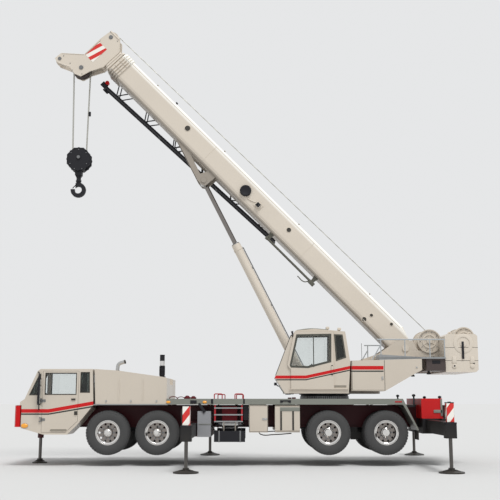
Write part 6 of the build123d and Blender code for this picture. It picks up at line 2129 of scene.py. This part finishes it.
@dataclass
class LiftCylinder:
    """Gland, bands, pipes and pin caps of the lift cylinder."""

    foot: Point = (-1.535, 0.0, 1.9)
    barrel: float = 4.15

    def build(self) -> None:
        """Fit out the barrel and the caps of its foot pin."""
        rod_low, rod_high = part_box("lift_rod")
        eye = Vector((rod_high.x - 0.11, 0.0, rod_high.z - 0.11))
        way = (eye - Vector(self.foot)).normalized()
        out = Vector((-way.z, 0.0, way.x))

        def along(distance: float, above: float = 0.0, y: float = 0.0) -> Point:
            """Return a place given along the cylinder, above its axis and across."""
            point = Vector(self.foot) + way * distance + out * above
            return (point.x, y, point.z)

        gland = Fitting("lift_gland", "lift_barrel", STEEL)
        gland.lathe([(self.barrel - 0.012, 0.062), (self.barrel - 0.012, 0.112), (self.barrel + 0.02, 0.106),
                     (self.barrel + 0.034, 0.08), (self.barrel + 0.034, 0.062)], self.foot, tuple(way)).done()
        bands = Fitting("lift_barrel_bands", "lift_barrel", BOOM_CREAM)
        for at in (0.1, 3.97):
            bands.lathe([(at, 0.116), (at, 0.126), (at + 0.05, 0.126), (at + 0.05, 0.116)], self.foot,
                        tuple(way))
        bands.block((-0.1, -0.06, -0.035), (0.1, 0.06, 0.035), 0.008)
        turn = Matrix.Rotation(-atan2(way.z, way.x), 4, "Y")
        bands.parts[-1].data.transform(moved(*along(0.42, 0.147)) @ turn)
        bands.done()
        pipe = Fitting("lift_cylinder_pipes", "lift_barrel", STEEL)
        lift = 0.138        # the pipes' height above the cylinder's axis
        for y in (-0.035, 0.035):
            pipe.rod(along(0.5, lift, y), along(3.9, lift, y), 0.011, 10)
            pipe.pipe([along(3.9, lift, y), along(3.99, 0.136, y), along(4.02, 0.112, y)], 0.011)
        for at in (1.2, 2.3, 3.4):
            pipe.rod(along(at, 0.12, -0.07), along(at, 0.12, 0.07), 0.018, 10)
        pipe.done()
        cap = Fitting("lift_pin_caps", "upper", STEEL)
        cap.lathe([(0.168, 0.0), (0.168, 0.07), (0.18, 0.066), (0.182, 0.0)], self.foot, steps=24)
        cap.both_sides().done()
        LOG.info("lift cylinder")


@dataclass(frozen=True)
class Region:
    """A box inside a CAD node whose faces take another finish.

    A mirrored box counts on both sides of the vehicle, and a laid one is given along, across
    and above the boom's pin line.
    """

    node: str
    low: Point
    high: Point
    finish: Finish
    mirrored: bool = False
    laid: bool = False

    def holds(self, place: Vector, unlay: Matrix) -> bool:
        """Tell whether a face's middle lies in the region.

        Args:
            place: The face's middle.
            unlay: The transform that undoes the boom's lean.

        Returns:
            Whether it lies in the region.
        """
        here = unlay @ place if self.laid else place
        across = abs(here.y) if self.mirrored else here.y
        spans = zip(self.low, (here.x, across, here.z), self.high)
        return all(low <= value <= high for low, value, high in spans)


def dress_nodes(regions: Iterable[Region]) -> None:
    """Give every CAD node its finish, and the faces inside a region theirs.

    Args:
        regions: Boxes with finishes of their own; a later one wins.
    """
    unlay = Boom().lay().inverted()
    wanted = list(regions)
    for name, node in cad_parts.items():
        finish = finish_for(name)
        node.data.materials.clear()
        node.data.materials.append(finish.material())
        for region in wanted:
            if region.node != name:
                continue
            node.data.materials.append(region.finish.material())
            index = len(node.data.materials) - 1
            for face in node.data.polygons:
                if region.holds(face.center, unlay):
                    face.material_index = index
    LOG.info("dressed %d nodes", len(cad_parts))


def glass_regions() -> list[Region]:
    """Return the panes that aren't clear cab glass: door panes and dark corner windows.

    Returns:
        The regions, each with its finish.
    """
    side = CAB_OUTER
    return [
        Region("carrier_door", (4.155, side - 0.03, 1.685), (4.935, side - 0.012, 2.225), CLEAR),
        Region("operator_door", (-2.045, side + 0.012, 2.31), (-0.97, side + 0.0255, 3.18), CLEAR),
        Region("carrier_glass", (3.81, side - 0.03, 1.66), (4.1, side, 2.25), DARK),
        Region("carrier_glass", (5.02, side - 0.03, 1.66), (5.33, side, 2.25), DARK),
        Region("operator_glass", (-2.42, 0.4, 2.45), (-2.08, 1.3, 3.2), DARK),
    ]


def body_regions() -> list[Region]:
    """Return the parts of CAD nodes that aren't painted as the rest of their node.

    Returns:
        The regions, each with its finish.
    """
    far = 20.0      # beyond the whole crane
    both_sides = [
        ("bumper", (5.61, 0.78, 1.14), (5.6499, 1.09, 1.34), SATIN_BLACK),
        ("deck", (-3.76, 1.2245, 1.44), (1.97, 1.26, 1.597), GREY),
        ("deck", (-4.2, 0.4, 0.84), (-3.7405, 1.26, 1.5955), GREY),
        ("deck", (-4.107, 0.7, 0.61), (-4.089, 1.26, 0.8701), GASKET),
        ("deck", (0.1, 1.18, 1.597), (0.85, 1.25, 1.74), PINK),
        ("side_equipment", (0.05, 0.7, 0.55), (0.85, 1.26, 0.84), SATIN_BLACK),
        ("side_equipment", (0.2, 0.69, 1.068), (0.66, 1.105, 1.43), MAROON),
        ("side_equipment", (0.23, 0.88, 0.86), (0.65, 1.09, 1.0699), STAINLESS),
        ("side_equipment", (0.12, 1.185, 1.04), (0.18, 1.24, 1.46), PINK),
        ("side_equipment", (0.77, 1.185, 1.04), (0.83, 1.24, 1.46), PINK),
        ("side_equipment", (-0.0205, 0.88, 1.08), (0.118, 1.19, 1.45), SATIN_BLACK),
        ("side_equipment", (-0.83, 1.2405, 0.8), (-0.76, 1.26, 1.42), GASKET),
        ("side_equipment", (-1.12, 1.2405, 0.8), (-1.05, 1.26, 1.42), GASKET),
        ("side_equipment", (-1.16, 1.05, 1.4465), (-1.01, 1.21, 1.47), GASKET),
        # under the walkway: dark brown, partly the hydraulic motor's own colour and partly painted shade under
        # the frame
        ("upper_frame", (-4.85, 0.375, 2.26), (-4.3569, 1.185, 2.5699), BROWN),
        ("upper_frame", (-4.84, 0.62, 2.559), (-3.19, 1.23, 2.68), DECK),
        ("upper_frame", (-4.85, 1.17, 2.61), (-2.9, 1.22, 3.06), RAIL_GREY),
        ("upper_frame", (-3.26, 1.17, 2.5), (-3.0, 1.22, 3.06), RAIL_GREY),
    ]
    # rungs of the ladder
    both_sides += [("side_equipment", (0.125, 1.12, z - 0.001), (0.825, 1.26, z + 0.031),
                    DECK) for z in (1.04, 1.2, 1.36)]
    one_side = [
        ("carrier_cab", (4.99, 1.243, 1.25), (5.2, 1.5, 2.3), SATIN_BLACK),
        ("carrier_cab", (4.95, 1.243, 1.0), (5.06, 1.3, 1.62), STEEL),
        ("carrier_door", (4.17, 1.2405, 1.55), (4.29, 1.27, 1.61), GASKET),
        ("carrier_door", (4.89, 1.2405, 1.0), (5.01, 1.28, 1.6), STEEL),
        ("hood", (3.6, -1.166, 1.585), (3.75, -0.484, 2.215), SATIN_BLACK),
        ("hood", (3.02, 0.84, 2.29), (3.3, 0.96, 2.56), STAINLESS),
        ("hood", (2.06, 0.53, 2.1), (2.25, 0.71, 2.16), SATIN_BLACK),
        ("upper_frame", (-far, -far, 1.69), (far, far, 1.7225), BLACK),
    ]
    jacks = [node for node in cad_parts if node.endswith("_jack")]
    # the jacks' rods take the dark grey of a painted reflection
    one_side += [(node, (-far, -far, 0.111), (far, far, 1.2), JACK_ROD) for node in jacks]
    along_boom = [
        ("boom_base", (5.69, 0.2805, -0.11), (5.91, 0.36, 0.11), SATIN_BLACK),
        ("boom_base", (5.23, 0.2805, -0.1), (5.36, 0.36, 0.02), SATIN_BLACK),
        ("boom_base", (2.7, 0.12, -0.56), (4.7, 0.24, -0.3055), STRIPE_GREY_PAINT),
    ]
    return (
        [Region(*row, mirrored=True) for row in both_sides] + [Region(*row) for row in one_side]
        + [Region(*row, laid=True) for row in along_boom]
    )


@dataclass
class Studio:
    """Pale floor, soft light and the camera."""

    tone: str = "#c7c7c6"
    sky: str = "#f2f3f4"
    sky_strength: float = 0.89
    eye: Point = (-0.045, 22.56, 1.575)
    pitch: float = 9.78
    lens: float = 62.5

    def build(self) -> None:
        """Set the floor, the lights and the camera."""
        bpy.ops.object.select_all(action="DESELECT")
        bpy.ops.mesh.primitive_plane_add(size=600.0, location=(0.0, 0.0, -0.002))
        floor = bpy.context.object
        floor.name = "studio_floor"
        material = bpy.data.materials.new("matt_studio_floor")
        material.use_nodes = True
        material.node_tree.nodes.clear()
        matt = {"Base Color": linear(self.tone), "Roughness": 1.0, "Specular IOR Level": 0.0}
        shader = add_node(material.node_tree, "BsdfPrincipled", matt)
        add_node(material.node_tree, "OutputMaterial", links={"Surface": shader.outputs["BSDF"]})
        floor.data.materials.append(material)
        world = bpy.data.worlds.new("studio")
        bpy.context.scene.world = world
        world.use_nodes = True
        sky = world.node_tree.nodes["Background"].inputs
        sky["Color"].default_value = linear(self.sky)
        sky["Strength"].default_value = self.sky_strength
        self.sun((radians(-24.0), radians(-12.0), 0.0), 2.0, 20.0)
        data = bpy.data.cameras.new("camera")
        data.lens = self.lens
        data.clip_end = 800.0
        camera = bpy.data.objects.new("camera", data)
        bpy.context.scene.collection.objects.link(camera)
        camera.location = self.eye
        camera.rotation_euler = (radians(90.0 + self.pitch), 0.0, pi)
        bpy.context.scene.camera = camera
        bpy.context.scene.view_settings.view_transform = "Standard"

    @staticmethod
    def sun(turn: Point, strength: float, width: float) -> None:
        """Add a soft overhead light.

        Args:
            turn: Rotation of the lamp.
            strength: Its power.
            width: The apparent size of the light, in degrees.
        """
        data = bpy.data.lights.new("overhead_light", "SUN")
        data.energy = strength
        data.angle = radians(width)
        lamp = bpy.data.objects.new("overhead_light", data)
        lamp.rotation_euler = turn
        bpy.context.scene.collection.objects.link(lamp)


def main() -> None:
    """Dress the frame, build the fittings and set the studio."""
    logging.basicConfig(level=logging.INFO, format="%(message)s")
    bpy.ops.object.select_all(action="DESELECT")
    dress_nodes(glass_regions() + body_regions())
    for assembly in (
        Wheels(), Outriggers(), CarrierCab(), EngineHood(), CarrierDeck(), UpperWorks(), OperatorCab(),
        Pads(), Boom(),
        HookBlock(), LiftCylinder(),
    ):
        assembly.build()
    Studio().build()


if __name__ == "__main__":
    main()
